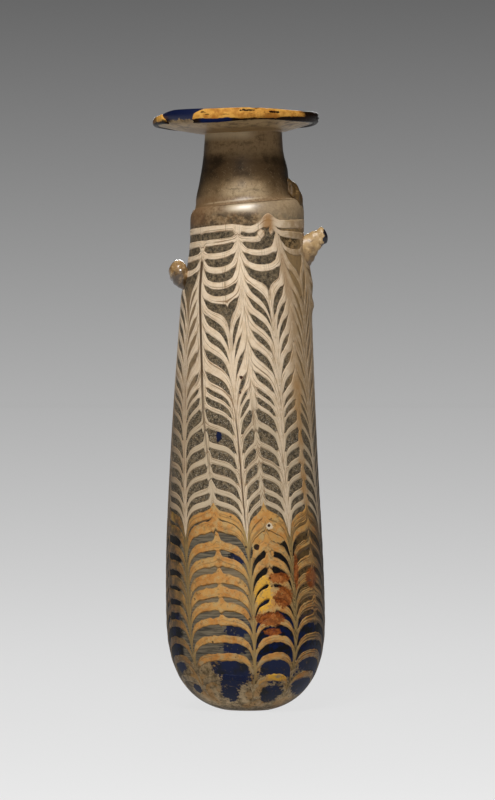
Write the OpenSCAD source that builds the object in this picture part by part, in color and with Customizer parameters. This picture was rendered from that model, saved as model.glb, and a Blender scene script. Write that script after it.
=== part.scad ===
// Core-formed glass alabastron: a cobalt bag-shaped body with a set-on neck, a broad rim disk,
// two lugs, and opaque glass threads wound round the wall and combed into a feather pattern.
// Millimetres, +Z up, the rest flat on Z = 0. The photographed side faces -Y.

/* [Body] */
// Largest outside diameter, low on the body
belly_d = 39.8; // [36:0.2:44]
// Height of the largest diameter
belly_z = 24; // [20:1:30]
// Outside diameter at the waist, below the lugs
waist_d = 32.2; // [30:0.2:35]
// Distance of the waist below the start of the shoulder roll
waist_drop = 19; // [15:1:26]
// Outside diameter of the cylindrical stretch under the shoulder
shoulder_d = 28.2; // [26.6:0.2:30]
// Height where the shoulder starts to roll inwards
shoulder_z = 123; // [120:1:130]
// Height of the shoulder roll
shoulder_roll = 3.4; // [2:0.2:5]
// Wall thickness of the body
wall = 3.2; // [2.6:0.1:3.8]
// Thickness of the floor above the rest flat
floor_t = 4; // [3:0.5:6]
// How much of the rounded base the rest flat takes away
rest_cut = 0.5; // [0.3:0.1:0.8]

/* [Neck and rim] */
// Diameter of the mouth, through rim, neck and shoulder
mouth_d = 11; // [9:0.5:12]
// Diameter of the neck just under the rim
neck_top_d = 19.2; // [18:0.2:20.4]
// Diameter of the neck's foot on the shoulder
neck_foot_d = 23.4; // [22:0.2:24.4]
// Height of the neck
neck_h = 17.4; // [14:0.2:24]
// Sideways offset of the neck from the body's axis
neck_shift = -0.5; // [-0.8:0.1:0]
// Diameter of the rim disk without its edge thread
rim_d = 39.8; // [36:0.2:44]
// Thickness of the rim disk at its edge
rim_edge_t = 3.2; // [2.8:0.1:4]
// How far the underside of the rim climbs from the neck to the edge
rim_rise = 2; // [1:0.2:3]
// How far the top of the rim dips towards the mouth
rim_dish = 0.8; // [0.4:0.1:1.2]
// Sideways offset of the rim disk from the neck's axis
rim_shift = -1.9; // [-2.2:0.1:0]

/* [Rim thread] */
// Bare edge of the rim above and below its thread
rim_trail_margin = 0.3; // [0.1:0.1:0.6]
// How far that thread stands out from the edge
rim_trail_t = 0.9; // [0.6:0.1:1.2]
// Angle, from the front, where the lost stretch of the thread starts
rim_loss_from = -62; // [-70:1:-50]
// Angle, from the front, where the lost stretch ends
rim_loss_to = -31; // [-40:1:-20]

/* [Lugs] */
// Distance of the left knob's centre below the start of the shoulder roll
knob_drop = 13.5; // [8:0.5:20]
// Radius of the left knob
knob_r = 2.5; // [2:0.1:3]
// How far the knob's centre stands out from the wall
knob_out = 1.9; // [1.2:0.1:2.2]
// Slope of the knob's tail below the horizontal
knob_slope = 50; // [35:1:60]
// Angle at which the tail narrows to each side
knob_taper = 5; // [0:1:8]
// Angle of the left knob from the front
knob_angle = -80; // [-90:1:-70]
// Distance of the right horn's tip below the start of the shoulder roll
horn_drop = 4.8; // [3.5:0.1:12]
// Radius of the rounded tip of the horn
horn_tip_r = 1.5; // [1.2:0.1:1.8]
// How far the horn's tip centre stands out from the wall
horn_out = 4.9; // [4:0.1:5.5]
// Upward slope of the horn's axis
horn_slope = 36; // [25:1:45]
// Half of the angle between the horn's sides
horn_flare = 20; // [12:1:22]
// Angle of the right horn from the front
horn_angle = 84; // [70:1:95]

/* [Combed threads] */
// Depth of the bed in the wall that holds the threads
trail_depth = 0.7; // [0.5:0.05:0.9]
// Clearance under the flat facets of the threads
trail_bed = 0.15; // [0.12:0.01:0.2]
// How far the threads lie below the wall's outer face
trail_flush = 0.02; // [0.02:0.01:0.1]
// Distance of the first turn below the start of the shoulder roll
trail_drop = 2.4; // [2:0.1:4]
// Height of the lowest yellow turn
trail_low_z = 10.5; // [10:0.5:14]
// Number of turns from the first white one to the last yellow one
trail_turns = 29.5; // [20:0.5:30]
// Share of the turns that are white
white_share = 0.62; // [0.5:0.01:0.7]
// Width of the white thread
white_w = 1.6; // [1.2:0.1:1.8]
// Width of the yellow thread
yellow_w = 2.2; // [1.6:0.1:2.3]
// Number of upward strokes of the comb, with a downward one between each two
stroke_pairs = 9; // [6:1:9]
// Angle of the first upward stroke from the front
first_stroke = -90; // [-100:1:-80]
// Turn of the strokes to the right between the top and the base
stroke_twist = 31; // [0:1:40]
// Longest upward pull of the comb
pull_up = 7.5; // [2:0.5:7.5]
// Longest downward pull of the comb
pull_down = 9; // [3:0.5:9]

/* [Hidden] */
$fn = 96;

cobalt = "#3d3a3c";
film = "#6e604b";
amber = "#8a6f45";
cream = "#dcc39c";
ochre = "#c8954f";

belly_r = belly_d / 2;
waist_r = waist_d / 2;
shoulder_r = shoulder_d / 2;
mouth_r = mouth_d / 2;
rim_r = rim_d / 2;
waist_z = shoulder_z - waist_drop;
seat_r = neck_foot_d / 2 - neck_shift;
seat_z = shoulder_z + shoulder_roll;
rim_z = seat_z + neck_h;
rim_x = neck_shift + rim_shift;
rim_seat_r = neck_top_d / 2 - rim_shift;
rim_edge_z = rim_z + rim_rise;
rim_top_z = rim_edge_z + rim_edge_t;
rim_trail_h = rim_edge_t - 2 * rim_trail_margin;
knob_z = shoulder_z - knob_drop;
horn_z = shoulder_z - horn_drop;

// The base is a superellipse of this power, a little squarer than an ellipse.
base_power = 2.5;
// The belly curves into the straight taper over this height.
belly_blend = 24;
// The taper gives way to the shoulder's cylinder between these heights.
step_from = waist_z - 2;
step_to = shoulder_z - 5;
taper = (belly_r - waist_r) / (waist_z - belly_z - belly_blend / 2);
base_steps = 14;
curve_steps = 8;
// Width of the level lip round the mouth
lip_w = 1;
// Overlap of a cutter past the face that it opens
cut_over = 1;

trail_top_z = shoulder_z - trail_drop;
trail_span = trail_top_z - trail_low_z;

// Hand-made strays of the first strokes from even spacing, in degrees
up_stray = [0, -3, -0.5, -0.5, -1];
down_stray = [-2, 5, 1, -2, -1];
// How far below the first turn each of the first up-strokes fades out, and the rest
up_fade = [3, 5, 0, -3, 2];
up_fade_rest = 1;
down_fade = 13;
// The comb's pull fades in over these heights below its upper ends.
up_ease = 24;
down_ease = 18;
// Pull of the comb along the wall: share of the thread zone's height, share of the longest pull
up_course = [[0.07, 0], [0.17, 0.2], [0.33, 0.4], [0.46, 0.6], [0.6, 0.9], [0.73, 1]];
down_course = [[0, 0.3], [0.1, 0.5], [0.28, 0.58], [0.46, 0.63], [0.62, 0.83], [0.75, 1]];
// Reach of a stroke to its sides, along the wall, and the power of its fading
up_reach = 1.4;
down_reach = 1;
fade_power = 0.7;
comb_r = 17;
twist_power = 1.6;
stroke_step = 360 / stroke_pairs;

// The bed ends this far beyond the outermost threads.
bed_margin = 1;
bed_low_z = trail_low_z - yellow_w / 2 - pull_down * down_course[0][1] - bed_margin;
bed_high_z = trail_top_z + white_w / 2 + bed_margin;

// Where the threads begin and end, in turns from the front of the first white turn
collar_from = -0.25;
collar_to = 0.92;
white_from = 0.956;
white_to = trail_turns * white_share;
yellow_from = white_to + 0.05;
yellow_to = trail_turns;
// Corners between two strokes, as shares of the way
corners = [0, 0.33, 0.67];

function clamp(x) = max(0, min(1, x));
function ease(a, b, x) = let (t = clamp((x - a) / (b - a))) t * t * (3 - 2 * t);

// Outside radius of the finished wall, threads included, at a height
function base_r(z) =
    belly_r * pow(1 - pow((belly_z - z) / (belly_z + rest_cut), base_power), 1 / base_power);
function taper_r(z) =
    let (h = z - belly_z)
    h < belly_blend ? belly_r - taper * h * h / (2 * belly_blend) : belly_r - taper * (h - belly_blend / 2);
function side_r(z) =
    let (s = ease(step_from, step_to, z))
    taper_r(z) * (1 - s) + shoulder_r * s;
function outer_r(z) = z < belly_z ? base_r(max(z, 0)) : side_r(z);
function cavity_r(z) = min(outer_r(z - floor_t), outer_r(z)) - wall;

// Heights at which the wall needs a corner, from the base to the shoulder
base_start = acos(pow(belly_z / (belly_z + rest_cut), base_power / 2));
base_zs = [for (i = [1 : base_steps - 1])
    let (t = base_start + (90 - base_start) * i / base_steps)
    belly_z - (belly_z + rest_cut) * pow(cos(t), 2 / base_power)];
blend_zs = [for (i = [0 : curve_steps]) belly_z + belly_blend * i / curve_steps];
step_zs = [for (i = [0 : curve_steps]) step_from + (step_to - step_from) * i / curve_steps];
wall_zs = concat(base_zs, blend_zs, step_zs);

function wall_points(from_z, to_z, inset) =
    [for (z = concat([from_z], [for (w = wall_zs) if (w > from_z && w < to_z) w], [to_z]))
        [outer_r(z) - inset, z]];

roll_points = [for (i = [0 : curve_steps])
    let (t = 90 * i / curve_steps)
    [seat_r + (shoulder_r - seat_r) * cos(t), shoulder_z + shoulder_roll * sin(t)]];

// The wall as it looks with the threads flush in it
module finished_wall() {
    rotate_extrude()
        polygon(concat([[0, 0]], wall_points(0, shoulder_z, 0), roll_points, [[0, seat_z]]));
}

// The same wall with the bed for the threads
module bedded_wall() {
    rotate_extrude()
        polygon(concat(
            [[0, 0]],
            wall_points(0, bed_low_z, 0),
            wall_points(bed_low_z, bed_high_z, trail_depth),
            wall_points(bed_high_z, shoulder_z, 0),
            roll_points,
            [[0, seat_z]]));
}

// The space that the core left: it follows the wall and narrows to the mouth
module chamber() {
    ceiling_z = step_to;
    narrow_z = ceiling_z + cavity_r(ceiling_z) - mouth_r;
    floor_zs = [for (z = wall_zs) if (z + floor_t < ceiling_z) z + floor_t];
    rotate_extrude()
        polygon(concat(
            [[0, floor_t]],
            [for (z = floor_zs) [cavity_r(z), z]],
            [[cavity_r(ceiling_z), ceiling_z], [mouth_r, narrow_z], [0, narrow_z]]));
}

module mouth_bore(from_z, to_z) {
    translate([neck_shift, 0, from_z])
        cylinder(h = to_z - from_z, d = mouth_d);
}

module body() {
    color(cobalt)
        difference() {
            bedded_wall();
            chamber();
            mouth_bore(step_to, seat_z + cut_over);
        }
}

module neck() {
    function neck_r(s) = neck_top_d / 2 + (neck_foot_d - neck_top_d) / 2 * pow(1 - s, 1.25);
    color(film)
        difference() {
            translate([neck_shift, 0, seat_z])
                rotate_extrude()
                    polygon(concat(
                        [[0, 0]],
                        [for (i = [0 : curve_steps]) [neck_r(i / curve_steps), neck_h * i / curve_steps]],
                        [[0, neck_h]]));
            mouth_bore(seat_z - cut_over, rim_z + cut_over);
        }
}

module rim_disk() {
    lip_r = mouth_r - rim_shift + lip_w;
    color(cobalt)
        difference() {
            translate([rim_x, 0, rim_z])
                rotate_extrude()
                    polygon([
                        [0, 0],
                        [rim_seat_r, 0],
                        [rim_r, rim_rise],
                        [rim_r, rim_rise + rim_edge_t],
                        [lip_r, rim_rise + rim_edge_t - rim_dish],
                        [0, rim_rise + rim_edge_t - rim_dish]]);
            mouth_bore(rim_z - cut_over, rim_top_z + cut_over);
        }
}

// The thread is a bead with a round outer face, open where a stretch of it is lost.
module rim_trail() {
    half_h = rim_trail_h / 2;
    bead_r = (half_h * half_h + rim_trail_t * rim_trail_t) / (2 * rim_trail_t);
    color(ochre)
        translate([rim_x, 0, rim_edge_z + rim_edge_t / 2])
            rotate([0, 0, rim_loss_to - 90])
                rotate_extrude(angle = 360 - (rim_loss_to - rim_loss_from))
                    intersection() {
                        translate([rim_r + rim_trail_t - bead_r, 0])
                            circle(bead_r);
                        translate([rim_r, -half_h])
                            square([rim_trail_t, rim_trail_h]);
                    }
}

// Turns a lug drawn in the XZ plane to its angle from the front
module at_angle(angle) {
    rotate([0, 0, angle - 90])
        children();
}

// A drop of glass along +Z: a round tip about the origin, with a flank that widens or narrows
module drop(tip_r, flare, length) {
    flank_r = tip_r * cos(flare) + (length + tip_r * sin(flare)) * tan(flare);
    tip = [for (i = [0 : curve_steps])
        let (t = (90 - flare) * i / curve_steps)
        [tip_r * sin(t), -tip_r * cos(t)]];
    rotate_extrude()
        polygon(concat(tip, [[flank_r, length], [0, length]]));
}

// A round knob with a tail that runs down into the wall
module left_lug() {
    knob_x = outer_r(knob_z) + knob_out;
    color(amber)
        difference() {
            at_angle(knob_angle)
                translate([knob_x, 0, knob_z])
                    rotate([0, -90 - knob_slope, 0])
                        drop(knob_r, -knob_taper, knob_out + 2 * knob_r);
            finished_wall();
        }
}

// A horn that widens from its rounded tip to a broad root on the wall
module right_lug() {
    tip_x = outer_r(horn_z) + horn_out;
    color(film)
        difference() {
            at_angle(horn_angle)
                translate([tip_x, 0, horn_z])
                    rotate([0, -90 - horn_slope, 0])
                        drop(horn_tip_r, horn_flare, 2 * horn_out);
            finished_wall();
        }
}

// Angles of the comb's strokes, before the twist
function up_angle(k) = first_stroke + stroke_step * k + (k < len(up_stray) ? up_stray[k] : 0);
function down_angle(k) =
    first_stroke + stroke_step * (k + 0.5) + (k < len(down_stray) ? down_stray[k] : 0);
function zone_share(z) = (z - trail_low_z) / trail_span;

// Longest pull of a stroke at a height
function up_pull(k, z) =
    let (fade_z = trail_top_z - (k < len(up_fade) ? up_fade[k] : up_fade_rest))
    pull_up * lookup(zone_share(z), up_course) * (1 - ease(fade_z - up_ease, fade_z, z));
function down_pull(z) =
    let (fade_z = trail_top_z - down_fade)
    pull_down * lookup(zone_share(z), down_course) * (1 - ease(fade_z - down_ease, fade_z, z));

// How much of a stroke's pull is left at an angle beside it
function stroke_fade(angle, stroke, reach) =
    let (away = angle - stroke)
    let (arc = abs(away - 360 * round(away / 360)) * PI / 180 * comb_r)
    exp(-pow(arc / reach, fade_power));

function sum(values, i = 0) = i < len(values) ? values[i] + sum(values, i + 1) : 0;
strokes = [for (k = [0 : stroke_pairs - 1]) k];

// Height that the comb moves a point of the wound thread to
function combed_z(angle, z) =
    z + sum([for (k = strokes)
        up_pull(k, z) * stroke_fade(angle, up_angle(k), up_reach)
            - down_pull(z) * stroke_fade(angle, down_angle(k), down_reach)]);
function twist(z) = stroke_twist * (1 - pow(1 - clamp(1 - zone_share(z)), twist_power));

function wall_point(angle, z, inset) =
    let (r = outer_r(z) - inset)
    let (t = angle + twist(z))
    [r * sin(t), -r * cos(t), z];

// Angles of the thread's corners over one turn, from the right to the left
turn_angles = [for (k = [stroke_pairs - 1 : -1 : 0])
    let (up = up_angle(k), down = down_angle(k))
    let (next = k + 1 < stroke_pairs ? up_angle(k + 1) : up_angle(0) + 360)
    for (angle = concat(
        [for (c = corners) next + c * (down - next)],
        [for (c = corners) down + c * (up - down)]))
        angle];

function thread_z(turn) = trail_top_z - trail_span * turn / trail_turns;

// Corners of a thread between two turn numbers: angle and height before the comb
function thread_course(from_turn, to_turn) =
    [for (n = [-1 : ceil(to_turn)])
        for (a = turn_angles)
            let (angle = a - 360 * n)
            let (turn = -angle / 360)
            if (turn >= from_turn && turn <= to_turn) [angle, thread_z(turn)]];

// Distance of a point from a straight stretch
function stretch_gap(p, a, b) =
    let (t = clamp((p - a) * (b - a) / ((b - a) * (b - a))))
    norm(p - a - t * (b - a));

// Least gap between neighbouring turns, from the lower edge of one to the upper edge of the next
function least_gap(lows, highs) =
    let (turn = len(turn_angles), last = len(lows) - 1)
    min([for (i = [1 : last - turn - 1])
        for (k = [-1, 0])
            let (j = i + turn + k)
            min(stretch_gap(lows[i], highs[j], highs[j + 1]),
                stretch_gap(highs[i + turn], lows[i + k], lows[i + k + 1]))]);

// One unbroken flat thread in the bed, from the points of its course
module combed_thread(name, from_turn, to_turn, width) {
    course = thread_course(from_turn, to_turn);
    top_inset = trail_flush;
    bed_inset = trail_depth - trail_bed;
    sections = [for (c = course)
        let (low = combed_z(c[0], c[1] - width / 2))
        let (high = combed_z(c[0], c[1] + width / 2))
        [wall_point(c[0], low, bed_inset), wall_point(c[0], low, top_inset),
         wall_point(c[0], high, top_inset), wall_point(c[0], high, bed_inset)]];
    last = len(course) - 1;
    if (last > len(turn_angles) + 2)
        echo(str(name, " least gap between turns in mm: ",
                 least_gap([for (s = sections) s[1]], [for (s = sections) s[2]])));
    sides = [for (i = [0 : last - 1])
        for (j = [0 : 3])
            let (a = 4 * i + j, b = 4 * i + (j + 1) % 4)
            for (face = [[a, b, b + 4], [a, b + 4, a + 4]])
                face];
    polyhedron(
        points = [for (s = sections) for (p = s) p],
        faces = concat([[3, 2, 1], [3, 1, 0]], sides,
                       [[4 * last, 4 * last + 1, 4 * last + 2], [4 * last, 4 * last + 2, 4 * last + 3]]));
}

module collar_trail() {
    color(cream)
        combed_thread("collar_trail", collar_from, collar_to, white_w);
}

module white_trail() {
    color(cream)
        combed_thread("white_trail", white_from, white_to, white_w);
}

module yellow_trail() {
    color(ochre)
        combed_thread("yellow_trail", yellow_from, yellow_to, yellow_w);
}

body();
neck();
rim_disk();
rim_trail();
left_lug();
right_lug();
collar_trail();
white_trail();
yellow_trail();
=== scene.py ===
import logging
import math
from dataclasses import dataclass, field
from enum import Enum
from typing import Any, Callable, Optional, Sequence, Union

import bmesh
import bpy
import numpy as np
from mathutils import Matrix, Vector


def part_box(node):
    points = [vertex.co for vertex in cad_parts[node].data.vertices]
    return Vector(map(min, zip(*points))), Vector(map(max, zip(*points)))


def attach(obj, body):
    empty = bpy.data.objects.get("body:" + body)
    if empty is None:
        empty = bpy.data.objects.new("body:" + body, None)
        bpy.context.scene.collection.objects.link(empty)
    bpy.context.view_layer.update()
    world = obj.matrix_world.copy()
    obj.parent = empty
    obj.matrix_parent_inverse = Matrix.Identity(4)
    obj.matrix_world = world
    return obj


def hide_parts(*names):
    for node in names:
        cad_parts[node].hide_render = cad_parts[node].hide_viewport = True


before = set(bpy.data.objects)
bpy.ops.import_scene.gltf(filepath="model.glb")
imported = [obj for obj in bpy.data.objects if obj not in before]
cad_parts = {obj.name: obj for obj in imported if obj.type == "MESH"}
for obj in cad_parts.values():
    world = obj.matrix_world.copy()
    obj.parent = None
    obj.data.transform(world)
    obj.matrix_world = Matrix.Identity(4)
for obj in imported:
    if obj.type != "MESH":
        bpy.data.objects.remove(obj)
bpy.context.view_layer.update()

LOG = logging.getLogger("alabastron")
MM = 0.001
TURN = 360.0
HALF_TURN = 180.0
RADIAN = math.pi / HALF_TURN
QUARTER = math.pi / 2.0
ROOT = "root"
MOUTH_R = 5.5
NECK_X = -0.5

Colour = tuple[float, float, float, float]
Point = tuple[float, float, float]
Station = tuple[float, float]  # a place and the value there
Course = tuple[Station, ...]
Span = tuple[float, float]  # where a blend starts and where it is complete
Pair = tuple[float, float]  # two sizes of one kind
Band = tuple[Span, Span]  # where something comes and where it goes again
Noise = tuple[float, float, float]  # a noise's scale, detail and roughness
Value = Union[float, "Field"]
Key = Union[int, str]
Sockets = Optional[dict[Key, Any]]
Settings = Optional[dict[str, Any]]


def srgb(red: float, green: float, blue: float) -> Colour:
    """Turns a colour read on a screen into the linear one that a shader takes.

    Args:
        red: Red from 0 to 255.
        green: Green from 0 to 255.
        blue: Blue from 0 to 255.

    Returns:
        The linear colour, opaque.
    """
    parts = [value / 255.0 for value in (red, green, blue)]
    linear = [p / 12.92 if p <= 0.04045 else ((p + 0.055) / 1.055) ** 2.4 for p in parts]
    return (linear[0], linear[1], linear[2], 1.0)


def ease(low: float, high: float, value: np.ndarray) -> np.ndarray:
    """Rises smoothly from 0 where a value is low to 1 where it is high."""
    share = np.clip((value - low) / (high - low), 0.0, 1.0)
    return share * share * (3.0 - 2.0 * share)


def hill(rise: Span, fall: Span, value: np.ndarray) -> np.ndarray:
    """Rises smoothly from 0 to 1 over one span and falls back over another."""
    return ease(*rise, value) * (1.0 - ease(*fall, value))


def polar(radius: Any, turn: np.ndarray, z: Any, shift: Any = 0.0) -> np.ndarray:
    """Points by their distance from an upright axis, their turn in radians and their height."""
    places = (radius * np.sin(turn) + shift, -radius * np.cos(turn), z)
    return np.stack(np.broadcast_arrays(*places), axis=-1)


class Slot(Enum):
    """The record's material slots."""

    COBALT = "cobalt_glass"
    FILMED = "filmed_glass"
    WHITE = "white_glass"
    YELLOW = "yellow_glass"
    LUG = "lug_glass"


class Mark(Enum):
    """The values that a combed thread's mesh keeps at its points for its finish."""

    ACROSS = "across"
    NEAR = "near"
    RISE = "rise"
    TURN = "turn"
    SWEEP = "sweep"


def operator(operation: str, swapped: bool = False) -> Callable[["Field", Value], "Field"]:
    """Makes one of the arithmetic methods of Field.

    Args:
        operation: The Math node's operation.
        swapped: True where the other value stands first.

    Returns:
        The method.
    """

    def apply(self: "Field", other: Value) -> "Field":
        """Adds the Math node."""
        return self.graph.math(operation, other, self) if swapped else self.graph.math(operation, self, other)

    return apply


class Field:
    """A node's output that takes part in Python expressions."""

    def __init__(self, graph: "Graph", node: bpy.types.Node, out: Key) -> None:
        """Keeps the tree, the node and the output's name or number."""
        self.graph = graph
        self.node = node
        self.out = out

    @property
    def socket(self) -> bpy.types.NodeSocket:
        """The output itself."""
        return self.node.outputs[self.out]

    def output(self, name: str) -> "Field":
        """Another output of the same node."""
        return Field(self.graph, self.node, name)

    def ruffled(self, noise: Value, reach: float) -> "Field":
        """The value moved up and down by noise from 0 to 1, half the reach each way."""
        return self + (noise - 0.5) * reach

    __add__ = operator("ADD")
    __radd__ = operator("ADD", swapped=True)
    __sub__ = operator("SUBTRACT")
    __rsub__ = operator("SUBTRACT", swapped=True)
    __mul__ = operator("MULTIPLY")
    __truediv__ = operator("DIVIDE")
    __rtruediv__ = operator("DIVIDE", swapped=True)
    __pow__ = operator("POWER")

    def __neg__(self) -> "Field":
        """The value with its sign turned."""
        return self.graph.math("MULTIPLY", self, -1.0)

    def __abs__(self) -> "Field":
        """The value without its sign."""
        return self.graph.math("ABSOLUTE", self)


class Graph:
    """A node tree that is written as Python expressions."""

    def __init__(self, tree: bpy.types.NodeTree) -> None:
        """Keeps the tree."""
        self.tree = tree

    def fill(self, node: bpy.types.Node, sockets: Sockets) -> None:
        """Sets or links inputs of a node.

        Args:
            node: The node.
            sockets: Values or outputs to link, by the input's name or number.
        """
        for key, value in (sockets or {}).items():
            if isinstance(value, Field):
                self.tree.links.new(value.socket, node.inputs[key])
            else:
                node.inputs[key].default_value = value

    def node(self, kind: str, sockets: Sockets = None, out: Key = 0, settings: Settings = None) -> Field:
        """Adds a node.

        Args:
            kind: The node's type.
            sockets: Values or links for its inputs, by name or number.
            out: The output to return, by name or number.
            settings: Its settings, set before the inputs.

        Returns:
            The chosen output.
        """
        made = self.tree.nodes.new(kind)
        for name, value in (settings or {}).items():
            setattr(made, name, value)
        self.fill(made, sockets)
        return Field(self, made, out)

    def math(self, operation: str, *values: Value) -> Field:
        """One Math node on values."""
        return self.node("ShaderNodeMath", dict(enumerate(values)), settings={"operation": operation})

    def ramp(self, value: Field, low: float, high: float, start: float, end: float) -> Field:
        """A straight, clamped run from start at low to end at high."""
        names = ("Value", "From Min", "From Max", "To Min", "To Max")
        return self.node("ShaderNodeMapRange", dict(zip(names, (value, low, high, start, end))))

    def smooth(self, value: Field, low: float, high: float) -> Field:
        """A clamped run from 0 at low to 1 at high, eased at both ends.

        Args:
            value: Where to read the run.
            low: Where it is 0.
            high: Where it is 1; less than low for a run that falls.

        Returns:
            The run's value.
        """
        sockets = {"Value": value, "From Min": min(low, high), "From Max": max(low, high)}
        run = self.node("ShaderNodeMapRange", sockets, settings={"interpolation_type": "SMOOTHSTEP"})
        return run if low < high else 1.0 - run

    def band(self, value: Field, rise: Span, fall: Span) -> Field:
        """A run that rises over one span and falls over another."""
        return self.smooth(value, *rise) * self.smooth(value, *fall)

    def course(self, value: Field, stations: Sequence[Station]) -> Field:
        """Straight runs through stations.

        Args:
            value: Where to read the course.
            stations: Places and the course's values there, in rising order.

        Returns:
            The course's value.
        """
        total: Value = stations[0][1]
        for (low, start), (high, end) in zip(stations, stations[1:]):
            if end != start:
                total = self.ramp(value, low, high, 0.0, end - start) + total
        return total

    def split(self, vector: Field) -> tuple[Field, Field, Field]:
        """The three parts of a vector."""
        parts = self.node("ShaderNodeSeparateXYZ", {0: vector})
        return parts, parts.output("Y"), parts.output("Z")

    def join(self, x: Value, y: Value, z: Value) -> Field:
        """A vector of three values."""
        return self.node("ShaderNodeCombineXYZ", {0: x, 1: y, 2: z})

    def noise(self, vector: Field, scale: float, detail: float, rough: float) -> Field:
        """Noise from 0 to 1 over a vector."""
        sockets = {"Vector": vector, "Scale": scale, "Detail": detail, "Roughness": rough}
        return self.node("ShaderNodeTexNoise", sockets)

    def streaks(self, x: Value, y: Value, z: Value, detail: float, rough: float = 0.5) -> Field:
        """Noise from 0 to 1 over three values, each already drawn out or squeezed."""
        return self.noise(self.join(x, y, z), 1.0, detail, rough)

    def cells(self, vector: Field, scale: float) -> Field:
        """Distance to the nearest of scattered points, in cells."""
        return self.node("ShaderNodeTexVoronoi", {"Vector": vector, "Scale": scale})

    def mix(self, factor: Value, first: Any, second: Any) -> Field:
        """A blend of two colours."""
        return self.node("ShaderNodeMix", {0: factor, 6: first, 7: second}, 2, {"data_type": "RGBA"})

    def glaze(self, colour: Any, *coats: tuple[Value, Any]) -> Field:
        """Lays tints over a colour, one after another.

        Args:
            colour: What lies underneath.
            coats: How much each tint covers, from 0 to 1, and the tint.

        Returns:
            The colour on top.
        """
        for share, tint in coats:
            colour = self.mix(share, colour, tint)
        return colour

    def most(self, first: Value, *others: Value) -> Field:
        """The largest of some values."""
        for other in others:
            first = self.math("MAXIMUM", first, other)
        return first

    def mark(self, mark: Mark) -> Field:
        """A value that a thread's mesh keeps at its points."""
        return self.node("ShaderNodeAttribute", None, "Fac", {"attribute_name": mark.value})


@dataclass(frozen=True)
class Patch:
    """One patch on the wall, by its middle and half sizes in degrees and millimetres."""

    angle: float
    height: float
    half_angle: float
    half_height: float

    def bump(self, angle: np.ndarray, z: np.ndarray, power: float) -> np.ndarray:
        """A soft bump on the patch.

        Args:
            angle: Angles round the body.
            z: Heights.
            power: How flat the bump's top is over the height.

        Returns:
            The bump's share at each place, from 0 to 1.
        """
        across = ((angle - self.angle + HALF_TURN) % TURN - HALF_TURN) / self.half_angle
        up = np.abs(z - self.height) / self.half_height
        return np.exp(-across * across - up**power)


# What runs over the wall and its threads alike: rust stains, a bubble, the groove, shared film colours
RUST = (
    Patch(25.0, 33.5, 8.5, 1.3),
    Patch(28.0, 28.9, 7.0, 2.6),
    Patch(18.0, 23.5, 11.0, 1.7),
    Patch(20.0, 20.3, 6.5, 0.9),
    Patch(39.5, 35.0, 2.2, 4.2),
    Patch(56.0, 33.5, 6.5, 2.6),
)
BUBBLE = Patch(8.0, 41.2, 2.1, 0.72)
GROOVE_LINE = ((40.0, -13.9), (56.0, -14.5), (74.0, -15.7))
GROOVE_HALF = ((57.0, 0.2), (78.0, 0.34), (100.0, 0.45), (110.0, 0.6))
GROOVE_BAND = ((54.0, 64.0), (112.2, 111.2))
GROOVE_DEPTH = ((66.0, 0.45), (84.0, 0.95))
NAVY = srgb(10, 22, 55)
FOOT_DARK = srgb(88, 72, 48)
FOOT_FILM = srgb(164, 140, 104)
FOOT_PALE = srgb(226, 200, 160)
RUST_DEEP = srgb(112, 54, 20)
RUST_LIGHT = srgb(166, 92, 38)
SHOULDER_DARK = srgb(112, 86, 58)
SHOULDER_FILM = srgb(152, 127, 95)


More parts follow.
